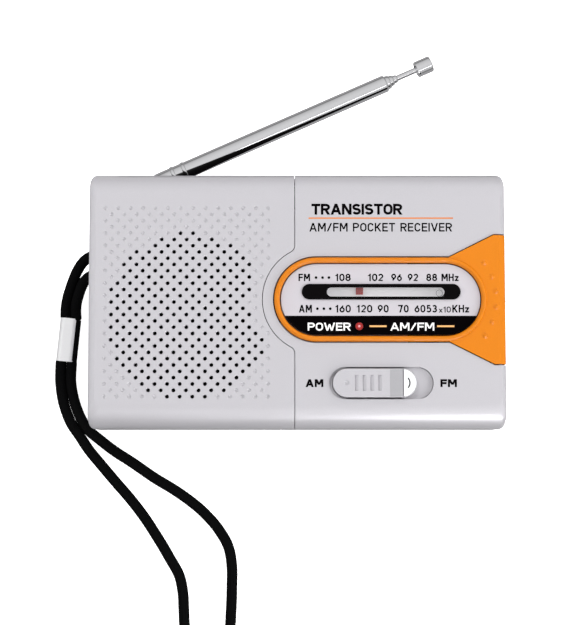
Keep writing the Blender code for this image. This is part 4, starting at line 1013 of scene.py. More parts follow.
def make_back_case():
    back = back_shell("back_case_skin")
    channel_back_y, channel_wall, root_z = AERIAL_PLACE.y - AERIAL_CHANNEL_HALF, 0.0011, 0.001
    block_low = (-HALF_WIDTH + 0.001, channel_back_y - channel_wall, 0.0014)
    bay_low = (BAY_LEFT_X - BAY_WALL, BAY_BOTTOM_Y - 0.0006, root_z)
    solids = [
        box("aerial_block", block_low, (0.052, HALF_HEIGHT - 0.0009, 0.01)),
        box("eyelet_block", (-0.057, 0.0059, root_z), (-0.0502, 0.0174, 0.0116)),
        box("bay_walls", bay_low, (BAY_RIGHT_X + BAY_WALL, BAY_TOP_Y + BAY_WALL, BAY_ROOF_TOP_Z)),
    ]
    for number, (x, y) in enumerate(CASE_SCREWS):
        solids.append(upright(f"back_boss_{number}", 0.0032, x, y, root_z, 0.0117, 24))
    for number, y in enumerate((-0.02, 0.02)):
        solids.append(upright(f"board_post_{number}", 0.0015, 0.036, y, root_z, 0.0103, 20))
    back = add(back, *solids)
    low, high = AERIAL_PLACE.z - AERIAL_CHANNEL_HALF, AERIAL_PLACE.z + AERIAL_CHANNEL_HALF
    end_bed = (BAY_RIGHT_X, DOOR_END_Y + 0.0002, 0.009)
    door_left, door_right, rail_top, past_end = -0.003, 0.028, 0.0034, -0.04
    holes = [
        box("bay", (BAY_LEFT_X, BAY_BOTTOM_Y, FACE_WALL), (BAY_RIGHT_X, BAY_TOP_Y, BAY_ROOF_Z)),
        box("door_opening", (door_left, -0.03, -BEYOND), (door_right, 0.023, 0.004)),
        box("door_rail_way", (BAY_LEFT_X, past_end, FACE_WALL), (BAY_RIGHT_X, -0.03, rail_top)),
        box("door_mouth", (door_left, past_end, -BEYOND), (door_right, -0.029, rail_top)),
        box("door_end_bed", (BAY_LEFT_X, past_end, -BEYOND), end_bed),
        box("aerial_channel", (-0.053, channel_back_y, low), (0.05, 0.04, high)),
        upright("pivot_hole", 0.0011, AERIAL_PLACE.x, AERIAL_PLACE.y, 0.001, 0.012),
        box("eyelet", (-0.06, 0.0072, 0.0026), (-0.0515, 0.016, 0.0104)),
        upright("strap_pin_hole", 0.0011, STRAP_PIN_X, STRAP_PIN_Y, 0.0012, 0.013),
    ]
    for number, (x, y) in enumerate(CASE_SCREWS):
        holes.append(upright(f"screw_hole_{number}", 0.0015, x, y, -0.001, 0.0125))
        holes.append(upright(f"screw_seat_{number}", 0.0027, x, y, -BEYOND, 0.0021))
    piece(cut(back, *holes), SILVER, "case", "silver_plastic", ["back_case"], 22)


def make_battery_door():
    left, right = -0.0027, 0.0277
    skin, rib, flange = 0.0015, 0.0012, 0.0015
    low, high = 0.0021, 0.003
    half = [(left, 0), (left, low), (left - flange, low), (left - flange, high)]
    half += [(left + rib, high), (left + rib, skin)]
    section = half + [(left + right - x, z) for x, z in reversed(half)]
    door = loft("battery_door_skin", [[(x, y, z) for x, z in section] for y in (-0.0345, 0.0227)])
    rings = back_edge_rings()
    end = loft("door_end", [raised(rings[0], PARTING_Z), *rings])
    end_low = (BAY_LEFT_X + 0.0003, -0.04, -BEYOND)
    end_high = (BAY_RIGHT_X - 0.0003, DOOR_END_Y - 0.0001, 0.0087)
    end = carve(end, "INTERSECT", [box("door_end_limits", end_low, end_high)])
    door = add(door, end)
    grips = []
    middle_x, top_y, deep = 0.0125, 0.0125, 0.00035
    for number in range(5):
        y, reach = top_y - 0.0016 * number, 0.006 - 0.0008 * number
        corner = (middle_x - reach, y, -0.001)
        grips.append(box("door_grip", corner, (middle_x + reach, y + 0.0007, deep)))
    piece(cut(door, *grips), SILVER, "door", "silver_plastic", ["battery_door"], 22)


def make_case_screws():
    profile = [(0, 0.0185), (0.0006, 0.0182), (0.0012, 0.0165), (0.0012, 0.0018), (0.0023, 0.0018)]
    profile += [(0.0023, 0.0009), (0.0021, 0.00065), (0.0016, 0.0005), (0, 0.00045)]
    for number, (x, y) in enumerate(CASE_SCREWS, 1):
        screw = turned(f"case_screw_{number}_head", profile, Matrix.Translation((x, y, 0)), 40)
        long, narrow, deep = 0.0013, 0.0003, 0.0013
        bars = [
            box("recess_bar", (x - half_x, y - half_y, -0.001), (x + half_x, y + half_y, deep))
            for half_x, half_y in ((long, narrow), (narrow, long))
        ]
        screw = cut(screw, *bars)
        piece(screw, STEEL, "case", "steel", [f"case_screw_{number}"], 30)


# ---------------------------------------------------------------- dial


def ring_bar(name, centre_radius, half_width, low, shoulder, crown):
    """A bar with a rounded top that runs round the dial's opening."""
    path, around, over, fullness = [], 48, 16, 0.75
    for x, start in ((DIAL_RIGHT_X, -90), (DIAL_X, 90)):
        for step in range(around + 1):
            angle = math.radians(start + 180 * step / around)
            path.append((x, math.cos(angle), math.sin(angle)))
    rings = []
    for x, outward_x, outward_y in path:
        section = [(half_width, low)]
        for step in range(over + 1):
            angle = math.pi * step / over
            bulge = abs(math.sin(angle)) ** fullness
            section.append((half_width * math.cos(angle), shoulder + (crown - shoulder) * bulge))
        section.append((-half_width, low))
        ring = []
        for offset, z in section:
            reach = centre_radius + offset
            ring.append((x + reach * outward_x, reach * outward_y, z))
        rings.append(ring)
    return loft(name, rings, closed_ends=False)


def make_dial_surround():
    gap = SEAM_GAP / 2
    low_z = PARTING_Z + gap
    rise = SURROUND_FIELD_Z - SIDE_BEVEL_LOW_Z
    heights = [low_z] + [SIDE_BEVEL_LOW_Z + rise * step / 8 for step in range(9)]
    rings = []
    for z in heights:
        _, right = bevelled_sides(min(z, BODY_DEPTH))
        right += max(0.0, z - BODY_DEPTH) * 1.2
        outline = rounded_rectangle(-HALF_WIDTH, HALF_WIDTH - right, 0.03, 0.001, 4)
        rings.append(raised(outline, z))
    field = loft("dial_surround_skin", rings)
    inner, flare_x, far = 0.0112, 0.0410, SURROUND_HALF_HEIGHT - gap
    half = [(0.03, -inner), (flare_x, -inner), (SURROUND_WIDE_X, -far), (BODY_WIDTH, -far)]
    shape = half + [(x, -y) for x, y in reversed(half)]
    field = carve(field, "INTERSECT", [plate("surround_shape", [shape], 0, BODY_WIDTH)])
    opening = pill(DIAL_X - 0.0104, DIAL_RIGHT_X + 0.0104, 0, 0.0104, 48)
    under = (HALF_WIDTH - SURROUND_SIDE + gap, HALF_HEIGHT, SURROUND_BED_Z + gap)
    field = cut(
        field,
        plate("dial_opening", [opening], 0, BODY_WIDTH),
        box("surround_hollow", (-HALF_WIDTH, -HALF_HEIGHT, -BODY_DEPTH), under),
        wheel_window("surround_window", TUNING_X, 0, TUNING_WHEEL_RADIUS),
    )
    outer = SURROUND_RADIUS - gap
    middle, half_width = (outer + DIAL_OPENING_RADIUS) / 2, (outer - DIAL_OPENING_RADIUS) / 2
    low = SURROUND_BED_Z + gap
    ring = ring_bar("surround_ring", middle, half_width, low, 0.0235, SURROUND_CROWN_Z)
    radius, height, sunk = 0.001, 0.0005, 0.00002
    profile = [(0, height)]
    for step in range(1, 9):
        drop = 0.5 + 0.5 * math.cos(math.pi * step / 8)
        profile.append((radius * step / 8, height * drop - sunk))
    profile += [(radius, -height), (0, -height)]
    bumps = []
    for angle in (-35.5, -21.3, -7.1, 7.1, 21.3, 35.5):
        (x, y), *_ = arc(0.0375, 0, 0.0173, angle, angle, 1)
        bumps.append(turned("bump", profile, Matrix.Translation((x, y, SURROUND_FIELD_Z)), 32))
    surround = add(field, ring, *bumps)
    piece(surround, ORANGE, "case", "orange_plastic", ["dial_surround"], 35)


def make_dial_plate():
    radius = DIAL_OPENING_RADIUS - 0.0003
    outline = pill(DIAL_X - radius, DIAL_RIGHT_X + radius, 0, radius, 48)
    slot = pill(SLOT_LEFT_X, SLOT_RIGHT_X, SLOT_Y, SLOT_HALF)
    led = circle(LED_X, LED_Y, 0.0011, 32)
    low = SURROUND_BED_Z + SEAM_GAP / 2
    dial = plate("dial_plate_skin", [outline, slot, led], low, PLATE_TOP_Z)
    piece(dial, PLATE, "case", "white_plastic", ["dial_plate"])
    band_top = -0.0045
    chord = math.degrees(math.asin(-band_top / radius))
    band = arc(DIAL_X, 0, radius, 180 + chord, 270, 24)
    band += arc(DIAL_RIGHT_X, 0, radius, 270, 360 - chord, 24)
    band = plate("dial_band_print", [band, led], PLATE_TOP_Z - 0.00002, PLATE_TOP_Z + 0.00002)
    piece(band, BLACK_INK, "case", "black_plastic")
    bezel = pill(0.0013, 0.045, 0.00213, 0.00215, 32)
    inner = pill(SLOT_LEFT_X, SLOT_RIGHT_X, SLOT_Y, SLOT_HALF, 24)
    low, high = PLATE_TOP_Z - 0.00004, PLATE_TOP_Z + 0.0004
    bezel = plate("slot_bezel_skin", [bezel, inner], low, high, 0.00012)
    piece(bezel, BLACK, "case", "black_plastic", ["slot_bezel"], 40)


def make_slot_end_painted_shade_ring():
    """A grey ring on the slot's backing inside its rounded right end: painted light and shade of the slot's end."""
    rings = [circle(0.03945, SLOT_Y, radius, 32) for radius in (0.00095, 0.00082)]
    piece(plate("slot_end_painted_shade_ring", rings, 0.02058, 0.02064), SLOT_END_PAINTED_SHADE, "case", "white_plastic")


def make_power_led():
    z = PLATE_TOP_Z
    profile = [(0.0009, z + 0.0003), (0.00105, z + 0.00015), (0.00105, z - 0.002)]
    profile += [(0.00034, z - 0.002), (0.00034, z + 0.0001), (0.0004, z + 0.00022)]
    profile.append((0.0006, z + 0.00032))
    place = Matrix.Translation((LED_X, LED_Y, 0))
    rim = turned("power_led_rim", profile, place, 40, True)
    piece(rim, LENS_RED, "case", "red_plastic", ["power_led"], 40)
    profile = [(0, z + 0.00022), (0.0002, z + 0.0002), (0.00032, z + 0.00012)]
    profile += [(0.00032, z - 0.004), (0, z - 0.004)]
    core = turned("power_led_core", profile, place, 32)
    piece(core, LENS_CORE, "case", "red_plastic", (), 40)


# ---------------------------------------------------------------- prints


def bow(x, y, across, up, start_deg, end_deg, steps=14):
    """Part of an upright ellipse, as points of a letter's stroke."""
    return [(x + across * px, y + up * py) for px, py in arc(0, 0, 1, start_deg, end_deg, steps)]


RING = bow(0.5, 0.66, 0.5, 0.34, 0, 180) + bow(0.5, 0.34, 0.5, 0.34, 180, 360) + [(1, 0.66)]
BOWL = [(0, 1), (0.55, 1)] + bow(0.55, 0.74, 0.45, 0.26, 90, -90) + [(0, 0.48)]
SIX = [(0.8, 1)] + bow(0.5, 0.32, 0.5, 0.32, 150, 510, 28)
# Each glyph: its width for a height of 1, then its strokes in a square of side 1.
GLYPHS = {
    " ": (0.2,),
    "/": (0.42, [(0, -0.08), (1, 1.08)]),
    "0": (0.5, RING),
    "1": (0.26, [(0.8, 0), (0.8, 1)], [(0, 0.74), (0.8, 0.97)]),
    "2": (0.5, bow(0.5, 0.7, 0.48, 0.3, 165, -25) + [(0.02, 0), (1, 0)]),
    "3": (0.5, bow(0.47, 0.75, 0.46, 0.25, 155, -80) + bow(0.47, 0.26, 0.53, 0.26, 80, -155)),
    "5": (0.5, [(0.92, 1), (0.12, 1), (0.06, 0.52)] + bow(0.46, 0.32, 0.54, 0.32, 115, -150)),
    "6": (0.52, SIX),
    "7": (0.5, [(0, 1), (1, 1)], [(1, 1), (0.35, 0)]),
    "8": (0.52, bow(0.5, 0.76, 0.43, 0.24, -90, 270, 28), bow(0.5, 0.27, 0.5, 0.27, 90, 450, 28)),
    "9": (0.52, [(1 - x, 1 - y) for x, y in SIX]),
    "A": (0.68, [(0.02, 0), (0.5, 1)], [(0.5, 1), (0.98, 0)], [(0.25, 0.27), (0.7, 0.27)]),
    "C": (0.52, bow(0.5, 0.66, 0.5, 0.34, 15, 180) + bow(0.5, 0.34, 0.5, 0.34, 180, 345)),
    "E": (0.46, [(0, 0), (0, 1)], [(0, 1), (1, 1)], [(0, 0.52), (0.9, 0.52)], [(0, 0), (1, 0)]),
    "F": (0.46, [(0, 0), (0, 1)], [(0, 1), (1, 1)], [(0, 0.5), (0.9, 0.5)]),
    "H": (0.54, [(0, 0), (0, 1)], [(1, 0), (1, 1)], [(0, 0.52), (1, 0.52)]),
    "I": (0.0, [(0.5, 0), (0.5, 1)]),
    "K": (0.55, [(0, 0), (0, 1)], [(0.1, 0.36), (1, 1)], [(0.36, 0.56), (1, 0)]),
    "M": (
        0.7,
        [(0, 0), (0, 1)],
        [(0.06, 1), (0.5, 0.22)],
        [(0.5, 0.22), (0.94, 1)],
        [(1, 1), (1, 0)],
    ),
    "N": (0.58, [(0, 0), (0, 1)], [(0.04, 1), (0.96, 0)], [(1, 1), (1, 0)]),
    "O": (0.54, RING),
    "P": (0.52, [(0, 0), (0, 1)], BOWL),
    "R": (0.54, [(0, 0), (0, 1)], BOWL, [(0.5, 0.48), (1, 0)]),
    "S": (0.52, bow(0.5, 0.755, 0.46, 0.245, 20, 250) + bow(0.5, 0.255, 0.49, 0.255, 70, -160)),
    "T": (0.52, [(0, 1), (1, 1)], [(0.5, 1), (0.5, 0)]),
    "V": (0.62, [(0, 1), (0.5, 0)], [(0.5, 0), (1, 1)]),
    "W": (
        0.9,
        [(0, 1), (0.27, 0)],
        [(0.27, 0), (0.5, 0.9)],
        [(0.5, 0.9), (0.73, 0)],
        [(0.73, 0), (1, 1)],
    ),
    "x": (0.42, [(0, 0.62), (1, 0)], [(0, 0), (1, 0.62)]),
    "z": (0.36, [(0, 0.62), (1, 0.62)], [(1, 0.62), (0, 0)], [(0, 0), (1, 0)]),
}


def stroke_sides(points, half):
    """The left and the right side of a stroke: a slanted bar is cut level, a bent one is mitred."""
    if len(points) == 2 and points[0][1] != points[1][1]:
        (x0, y0), (x1, y1) = points
        reach = half * math.hypot(x1 - x0, y1 - y0) / abs(y1 - y0)
        return [(x0 - reach, y0), (x1 - reach, y1)], [(x0 + reach, y0), (x1 + reach, y1)]
    kept, sharpest = [Vector(points[0])], 0.6
    for point in map(Vector, points[1:]):
        if (point - kept[-1]).length > half * 0.05:
            kept.append(point)
    closed = (kept[0] - kept[-1]).length < half * 0.5 and len(kept) > 6
    if closed:
        kept[-1] = kept[0].copy()
    left, right = [], []
    for index, point in enumerate(kept):
        before = kept[index - 1] if index else (kept[-2] if closed else None)
        after = kept[index + 1] if index + 1 < len(kept) else (kept[1] if closed else None)
        ways = (before and point - before, after and after - point)
        ways = [way.normalized() for way in ways if way]
        way = sum(ways, Vector((0, 0))).normalized()
        across = Vector((-way.y, way.x))
        reach = half / max(sharpest, abs(across.dot(Vector((-ways[0].y, ways[0].x)))))
        left.append(tuple(point + across * reach))
        right.append(tuple(point - across * reach))
    return left, right


def run_on(stroke, placed, middle, half):
    """Lengthens a straight stroke by half its weight where it ends at an edge of the letter."""
    (_, from_share), (_, to_share) = stroke
    (x0, y0), (x1, y1) = placed
    if from_share == to_share:
        return [(x0 - (stroke[0][0] == 0) * half, y0), (x1 + half, y1)]
    ends = []
    for share, x, y in ((from_share, x0, y0), (to_share, x1, y1)):
        ends.append((x, y + math.copysign(half, y - middle) if share in (0, 1) else y))
    return ends


def lettering(text, left, right, low, high, z, weight, spacing=0.14):
    """Text that fills a box given in millimetres, in strokes of one weight a hair thick."""
    left, right, low, high, weight = (size * MM for size in (left, right, low, high, weight))
    thick, step_up = 0.012 * MM, 0.003 * MM
    tall = high - low - weight
    widths = [GLYPHS[glyph][0] * tall for glyph in text]
    spare = right - left - weight * len(text)
    gap = spacing * tall
    scale = (spare - gap * (len(text) - 1)) / sum(widths)
    x = left + weight / 2
    shape = bmesh.new()
    for glyph, width in zip(text, widths):
        for number, stroke in enumerate(GLYPHS[glyph][1:]):
            placed = [(x + px * width * scale, low + weight / 2 + py * tall) for px, py in stroke]
            if len(stroke) == 2:
                placed = run_on(stroke, placed, (low + high) / 2, weight / 2)
            sides = stroke_sides(placed, weight / 2)
            # Later strokes stand a little higher, so that no two tops lie in one plane.
            top = z + thick + number * step_up
            rows = [
                [shape.verts.new(point) for point in raised(side, level)]
                for level in (top, z)
                for side in sides
            ]
            for step in range(len(rows[0]) - 1):
                for one, other in ((0, 1), (1, 3), (3, 2), (2, 0)):
                    near, far = rows[one], rows[other]
                    shape.faces.new((near[step], near[step + 1], far[step + 1], far[step]))
            for step in (0, -1):
                shape.faces.new((rows[0][step], rows[1][step], rows[3][step], rows[2][step]))
        x += width * scale + gap + weight
    return from_bmesh("print", shape)


def joined(name, objects):
    """One mesh from several."""
    shape = bmesh.new()
    for obj in objects:
        shape.from_mesh(obj.data)
        bpy.data.objects.remove(obj)
    return from_bmesh(name, shape)


def printed(name, objects, ink, slot):
    piece(joined(name, objects), ink, "case", slot, (), 30, False)


def make_prints():
    face, dial, on_band = BODY_DEPTH, PLATE_TOP_Z, PLATE_TOP_Z + 0.02 * MM
    title = [
        lettering("TRANSISTOR", 4.0, 29.1, 23.5, 26.55, face, 0.7, 0.06),
        lettering("AM/FM POCKET RECEIVER", 3.4, 42.8, 18.8, 21.2, face, 0.4),
        lettering("AM", 2.3, 7.2, -24.1, -21.95, face, 0.58),
        lettering("FM", 39.25, 43.75, -24.1, -21.95, face, 0.58),
    ]
    printed("case_lettering_print", title, BLACK_INK, "black_plastic")
    line_low = (3.2 * MM, 22.35 * MM, face - 0.02 * MM)
    line = box("case_line_print", line_low, (43.1 * MM, 22.72 * MM, face + 0.02 * MM))
    piece(line, ORANGE_INK, "case", "orange_plastic", (), 30, False)
    fm_row = (("FM", 0.42, 3.6), ("108", 10.5, 14.8), ("102", 19.5, 23.8), ("96", 25.95, 28.9))
    fm_row += (("92", 30.5, 33.4), ("88", 35.6, 38.6), ("MHz", 39.8, 44.5))
    am_row = (("AM", 0.5, 4.1), ("160", 10.5, 14.8), ("120", 16.4, 20.7), ("90", 22.2, 25.2))
    am_row += (("70", 27.8, 30.7), ("60", 32.3, 35.3), ("53", 35.6, 38.5), ("KHz", 42.7, 47.3))
    numbers = []
    for row, low, high in ((fm_row, 5.08, 7.12), (am_row, -3.6, -1.5)):
        for text, left, right in row:
            numbers.append(lettering(text, left, right, low, high, dial, 0.4))
    numbers.append(lettering("x10", 39.0, 42.3, -3.6, -1.95, dial, 0.27))
    for xs, y in (((5.25, 7.05, 8.8), 6.05), ((5.6, 7.4, 9.15), -2.55)):
        for x in xs:
            dot = circle(x * MM, y * MM, 0.38 * MM, 20)
            numbers.append(plate("dot", [dot], dial - 0.015 * MM, dial + 0.015 * MM))
    printed("dial_numbers_print", numbers, BLACK_INK, "black_plastic")
    captions = [
        lettering("POWER", 2.95, 14.75, -8.62, -6.4, on_band, 0.42),
        lettering("AM/FM", 25.6, 37.7, -8.62, -6.4, on_band, 0.42),
    ]
    printed("dial_captions_print", captions, WHITE_INK, "white_plastic")
    dashes = []
    for left, right in ((19.9, 24.6), (38.5, 43.2)):
        corner = (left * MM, -7.62 * MM, on_band - 0.01 * MM)
        dashes.append(box("dash", corner, (right * MM, -7.14 * MM, on_band + 0.02 * MM)))
    printed("dial_dashes_print", dashes, TAN_INK, "orange_plastic")


# ---------------------------------------------------------------- band switch


def make_band_switch():
    low, top = SWITCH_BED_Z + SEAM_GAP, BUTTON_TOP_Z
    outline = pill(BUTTON_LEFT_X, BUTTON_RIGHT_X, SWITCH_Y, BUTTON_HALF_HEIGHT, 32)
    button = plate("band_switch_button_skin", [outline], low, top, 0.00022)
    stem_low = (STEM_LEFT_X, SWITCH_Y - STEM_HALF, 0.0197)
    button = add(button, box("stem", stem_low, (STEM_RIGHT_X, SWITCH_Y + STEM_HALF, low + 0.0005)))
    cuts = []
    half, steep, ramp, depth, above = 0.00215, 0.00006, 0.0011, 0.0005, 0.0002
    for number, x in enumerate((0.0158, 0.0179, 0.02, 0.0222)):
        section = [(x, top + above), (x + steep, top - depth)]
        section += [(x + ramp, top + 0.00002), (x + ramp, top + above)]
        rings = [[(px, SWITCH_Y + y, pz) for px, pz in section] for y in (-half, half)]
        cuts.append(loft(f"rib_{number}", rings))
    dimple = bmesh.new()
    radius, sunk = 0.0008, 0.00046
    place = Matrix.Translation((0.01355, SWITCH_Y, top + radius - sunk))
    bmesh.ops.create_uvsphere(dimple, u_segments=32, v_segments=32, radius=radius, matrix=place)
    cuts.append(from_bmesh("dimple", dimple))
    band_left, band_right, groove_right = 0.0254, 0.02895, 0.02923
    across = 0.01
    for name, left, right, sunk in (
        ("band", band_left, band_right, 0.00012),
        ("groove", band_right - 0.00002, groove_right, 0.0006),
    ):
        corner = (left, SWITCH_Y - across, top - sunk)
        cuts.append(box(name, corner, (right, SWITCH_Y + across, top + 0.001)))
    button = cut(button, *cuts)
    piece(button, SILVER, "band_switch", "white_plastic", ["band_switch_button"], 25)

    inset = BUTTON_HALF_HEIGHT - 0.00024
    left, right = band_left + 0.00003, band_right - 0.00005
    stripe = [(left, SWITCH_Y - inset), (right, SWITCH_Y - inset)]
    stripe += [(x, SWITCH_Y + inset) for x in (right, left)]
    stripe = plate("switch_band_inlay", [stripe], top - 0.00016, top - 0.00006)
    piece(stripe, SILVER_DARK, "band_switch", "white_plastic")
    centre = BUTTON_RIGHT_X - BUTTON_HALF_HEIGHT
    turn = math.degrees(math.acos((groove_right - centre) / inset))
    end = arc(centre, SWITCH_Y, inset, -turn, turn, 32)
    end = plate("switch_end_inlay", [end], top - 0.00004, top + 0.00003)
    piece(end, SILVER_PALE, "band_switch", "white_plastic")
    mark = arc(0.0288, SWITCH_Y, 0.0022, -42, 42, 20) + arc(0.02875, SWITCH_Y, 0.00185, 42, -42, 20)
    mark = plate("switch_mark_print", [mark], top + 0.00002, top + 0.00005)
    piece(mark, DARK_GREY, "band_switch", "black_plastic", (), 30, False)


# ---------------------------------------------------------------- thumbwheels, cells, socket


def knurled(obj, x, y, radius, teeth):
    depth = 0.0003
    for vert in obj.data.vertices:
        dx, dy = vert.co.x - x, vert.co.y - y
        reach = math.hypot(dx, dy)
        share = max(0.0, min(1.0, (reach - radius + 0.0009) / 0.0005))
        if share:
            drop = depth * share * (0.5 - 0.5 * math.cos(teeth * math.atan2(dy, dx)))
            scale = (reach - drop) / reach
            vert.co.x, vert.co.y = x + dx * scale, y + dy * scale


def rim_profile(radius):
    bevel = 0.0005
    profile = []
    for centre_z, start in ((WHEEL_HIGH_Z - bevel, 90), (WHEEL_LOW_Z + bevel, 0)):
        for step in range(7):
            angle = math.radians(start - 90 * step / 6)
            reach = radius - bevel + bevel * math.cos(angle)
            profile.append((reach, centre_z + bevel * math.sin(angle)))
    return profile


def make_thumbwheels():
    groove, flange = DRUM_RADIUS - 0.00055, DRUM_RADIUS + 0.0005
    tuning = [(0.0026, 0.0194), (flange, 0.0194), (flange, 0.019), (groove, 0.0188)]
    tuning += [(groove, 0.0178), (flange, 0.0176), (flange, WHEEL_HIGH_Z)]
    tuning += [*rim_profile(TUNING_WHEEL_RADIUS), (0.00315, WHEEL_LOW_Z), (0.00315, 0.0162)]
    tuning += [(0.0014, 0.0162), (0.0014, 0.0174), (0.0026, 0.0174)]
    volume = [(0.0022, WHEEL_HIGH_Z), *rim_profile(VOLUME_WHEEL_RADIUS), (0.00215, WHEEL_LOW_Z)]
    volume += [(0.00215, 0.0152), (0.0011, 0.0152), (0.0011, 0.0158), (0.0022, 0.0158)]
    for body, profile, x, y, radius, teeth in (
        ("tuning", tuning, TUNING_X, 0, TUNING_WHEEL_RADIUS, 72),
        ("volume", volume, VOLUME_X, VOLUME_Y, VOLUME_WHEEL_RADIUS, 42),
    ):
        place = Matrix.Translation((x, y, 0))
        wheel = turned(f"{body}_wheel_knurled", profile, place, teeth * 8, True)
        knurled(wheel, x, y, radius, teeth)
        piece(wheel, DARK_GREY, body, "dark_grey_plastic", [f"{body}_wheel"], 35, False)


def make_cells():
    nose, base, rim = CELL_LENGTH + CELL_NUB_LENGTH, 0.0003, 0.0006
    radius, can_radius = CELL_RADIUS, CELL_RADIUS - 0.0001
    can = [(0, nose), (CELL_NUB_RADIUS - base, nose), (CELL_NUB_RADIUS, nose - base)]
    can += [(CELL_NUB_RADIUS, CELL_LENGTH), (radius - rim, CELL_LENGTH)]
    can += [(can_radius, CELL_LENGTH - base), (can_radius, base), (radius - base, 0), (0, 0)]

    def wrap(high, low):
        return [(radius, high), (radius, low), (can_radius, low), (can_radius, high)]

    band, sleeve = wrap(CELL_LENGTH - rim, 0.041), wrap(0.0409, rim)
    ends = ((BAY_TOP_Y - 0.0009 - nose, 1), (BAY_BOTTOM_Y + 0.0009 + nose, -1))
    for number, (x, (y, way)) in enumerate(zip(CELL_XS, ends), 1):
        place = Matrix.Translation((x, y, CELL_Z)) @ Matrix.Rotation(-way * math.pi / 2, 4, "X")
        can_skin = turned(f"cell_{number}_can", can, place)
        piece(can_skin, STEEL, "case", "cell_sleeve", [f"battery_{number}"])
        for part, profile, material in (("band", band, SLEEVE_BAND), ("sleeve", sleeve, SLEEVE)):
            skin = turned(f"cell_{number}_{part}", profile, place, 64, True)
            piece(skin, material, "case", "cell_sleeve")


# ---------------------------------------------------------------- aerial


def rounded_end(radius, inner, end, start, roll):
    """A tube's profile whose far end rolls over to its bore."""
    points = [(inner, end - roll * 0.1)]
    for step in range(9):
        angle = math.pi / 2 * (1 - step / 8)
        reach = inner + (radius - inner) * math.cos(angle)
        points.append((reach, end - roll * (1 - math.sin(angle))))
    return points + [(radius, start), (inner, start)]


def make_aerial():
    turn = Matrix.Rotation(math.radians(AERIAL_REST_DEG), 4, "Z")
    place = Matrix.Translation(AERIAL_PLACE) @ turn
    along = place @ Matrix.Rotation(math.pi / 2, 4, "Y")
    lug = [pill(-0.0024, 0.0082, 0, 0.0024, 24), circle(0, 0, 0.0012)]
    lug = plate("aerial_foot_skin", lug, -0.0015, 0.0015, 0.0003)
    plug = cylinder("foot_plug", 0.0019, (0.005, 0, 0), (0.0115, 0, 0), 40)
    foot = add(lug, plug)
    foot.data.transform(place)
    piece(foot, CHROME, "aerial", "chrome", ["aerial_foot"], 35)
    radius, inner = 0.0025, 0.00215
    profile = rounded_end(radius, 0.00204, AERIAL_TUBE_END, AERIAL_TUBE_END - 0.002, 0.0007)[:-2]
    bead = 0.00024
    for middle in (0.0171, 0.0138):
        for step in range(9):
            angle = math.pi * step / 8
            profile.append((radius + bead * math.sin(angle), middle + 0.00055 * math.cos(angle)))
    profile += [(radius, 0.0089), (radius - 0.0002, 0.0086), (inner, 0.0086)]
    profile += [(inner, AERIAL_TUBE_END - 0.0012), (0.00204, AERIAL_TUBE_END - 0.0009)]
    tube = turned("aerial_tube_1_skin", profile, along, 72, True)
    piece(tube, CHROME, "aerial", "chrome", ["aerial_tube_1"], 35, False)
    for number, radius, inner, start, end in (
        (2, 0.002, 0.00163, 0.016, 0.082),
        (3, 0.0016, 0.00123, 0.0172, 0.0831),
        (4, 0.0012, 0.00085, 0.0183, 0.0843),
    ):
        tube, body = f"aerial_tube_{number}", f"aerial_section_{number}"
        profile = rounded_end(radius, inner, end, start, 0.0009)
        skin = turned(f"{tube}_skin", profile, along, 64, True)
        piece(skin, CHROME, body, "chrome", [tube], 35, False)
    rod = [(0, 0.0925), (0.00082, 0.0925), (0.00082, 0.0195), (0, 0.0195)]
    rod = turned("aerial_rod_skin", rod, along, 40)
    piece(rod, CHROME, "aerial_top", "chrome", ["aerial_rod"], 35, False)
    knob = [(0, 0.0951), (0.0019, 0.0951), (0.00218, 0.09502), (0.00232, 0.0948), (0.00235, 0.0945)]
    knob += [(0.00235, 0.0907), (0.0023, 0.09045), (0.0021, 0.0903), (0.0019, 0.0903)]
    knob += [(0.00175, 0.0905), (0.00165, 0.0917), (0.00095, 0.0917)]
    knob += [(0.00095, 0.0928), (0, 0.0928)]
    knob = turned("aerial_tip_skin", knob, along, 64)
    piece(knob, CHROME, "aerial_top", "chrome", ["aerial_tip"], 35)


# ---------------------------------------------------------------- stage and light


def hide_from(obj, *rays):
    for ray in rays:
        setattr(obj, f"visible_{ray}", False)


def make_floor():
    shape = bmesh.new()
    below = Matrix.Translation((0, 0, -0.0003))
    bmesh.ops.create_grid(shape, x_segments=1, y_segments=1, size=3, matrix=below)
    floor = from_bmesh("pale_floor", shape)
    material = bpy.data.materials.new("pale_floor")
    material.use_nodes = True
    shader = material.node_tree.nodes["Principled BSDF"]
    shader.inputs["Base Color"].default_value = (0.85, 0.85, 0.85, 1)
    shader.inputs["Roughness"].default_value = 0.9
    shader.inputs["Specular IOR Level"].default_value = 0.0
    shader.inputs["Emission Color"].default_value = (1, 1, 1, 1)
    shader.inputs["Emission Strength"].default_value = 0.95
    floor.data.materials.append(material)
    hide_from(floor, "glossy", "diffuse")
    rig.stage(floor)


def make_backdrop():
    """A pale dome behind everything, which the camera sees and nothing else does."""
    shape = bmesh.new()
    bmesh.ops.create_uvsphere(shape, u_segments=48, v_segments=24, radius=2.6)
    dome = from_bmesh("pale_backdrop", shape)
    dome.data.shade_smooth()
    dome.data.materials.append(bpy.data.materials["pale_floor"])
    hide_from(dome, "glossy", "diffuse", "transmission", "shadow")
    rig.stage(dome)


def make_flag():
    """A black card along the radio's top side that only reflections show, as in the chrome."""
    flag = box("black_flag", (-0.05, 0.0358, 0.0015), (0.056, 0.036, 0.0195))
    flag.data.materials.append(BLACK)
    hide_from(flag, "camera", "diffuse", "shadow", "transmission")
    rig.stage(flag)


def area_light(name, place, target, size, size_y, power):
    light = bpy.data.lights.new(name, "AREA")
    light.shape = "RECTANGLE"
    light.size, light.size_y = size, size_y
    light.energy = power
    obj = made(name, light)
    obj.location = place
    obj.rotation_euler = (Vector(target) - Vector(place)).to_track_quat("-Z", "Y").to_euler()
    return obj


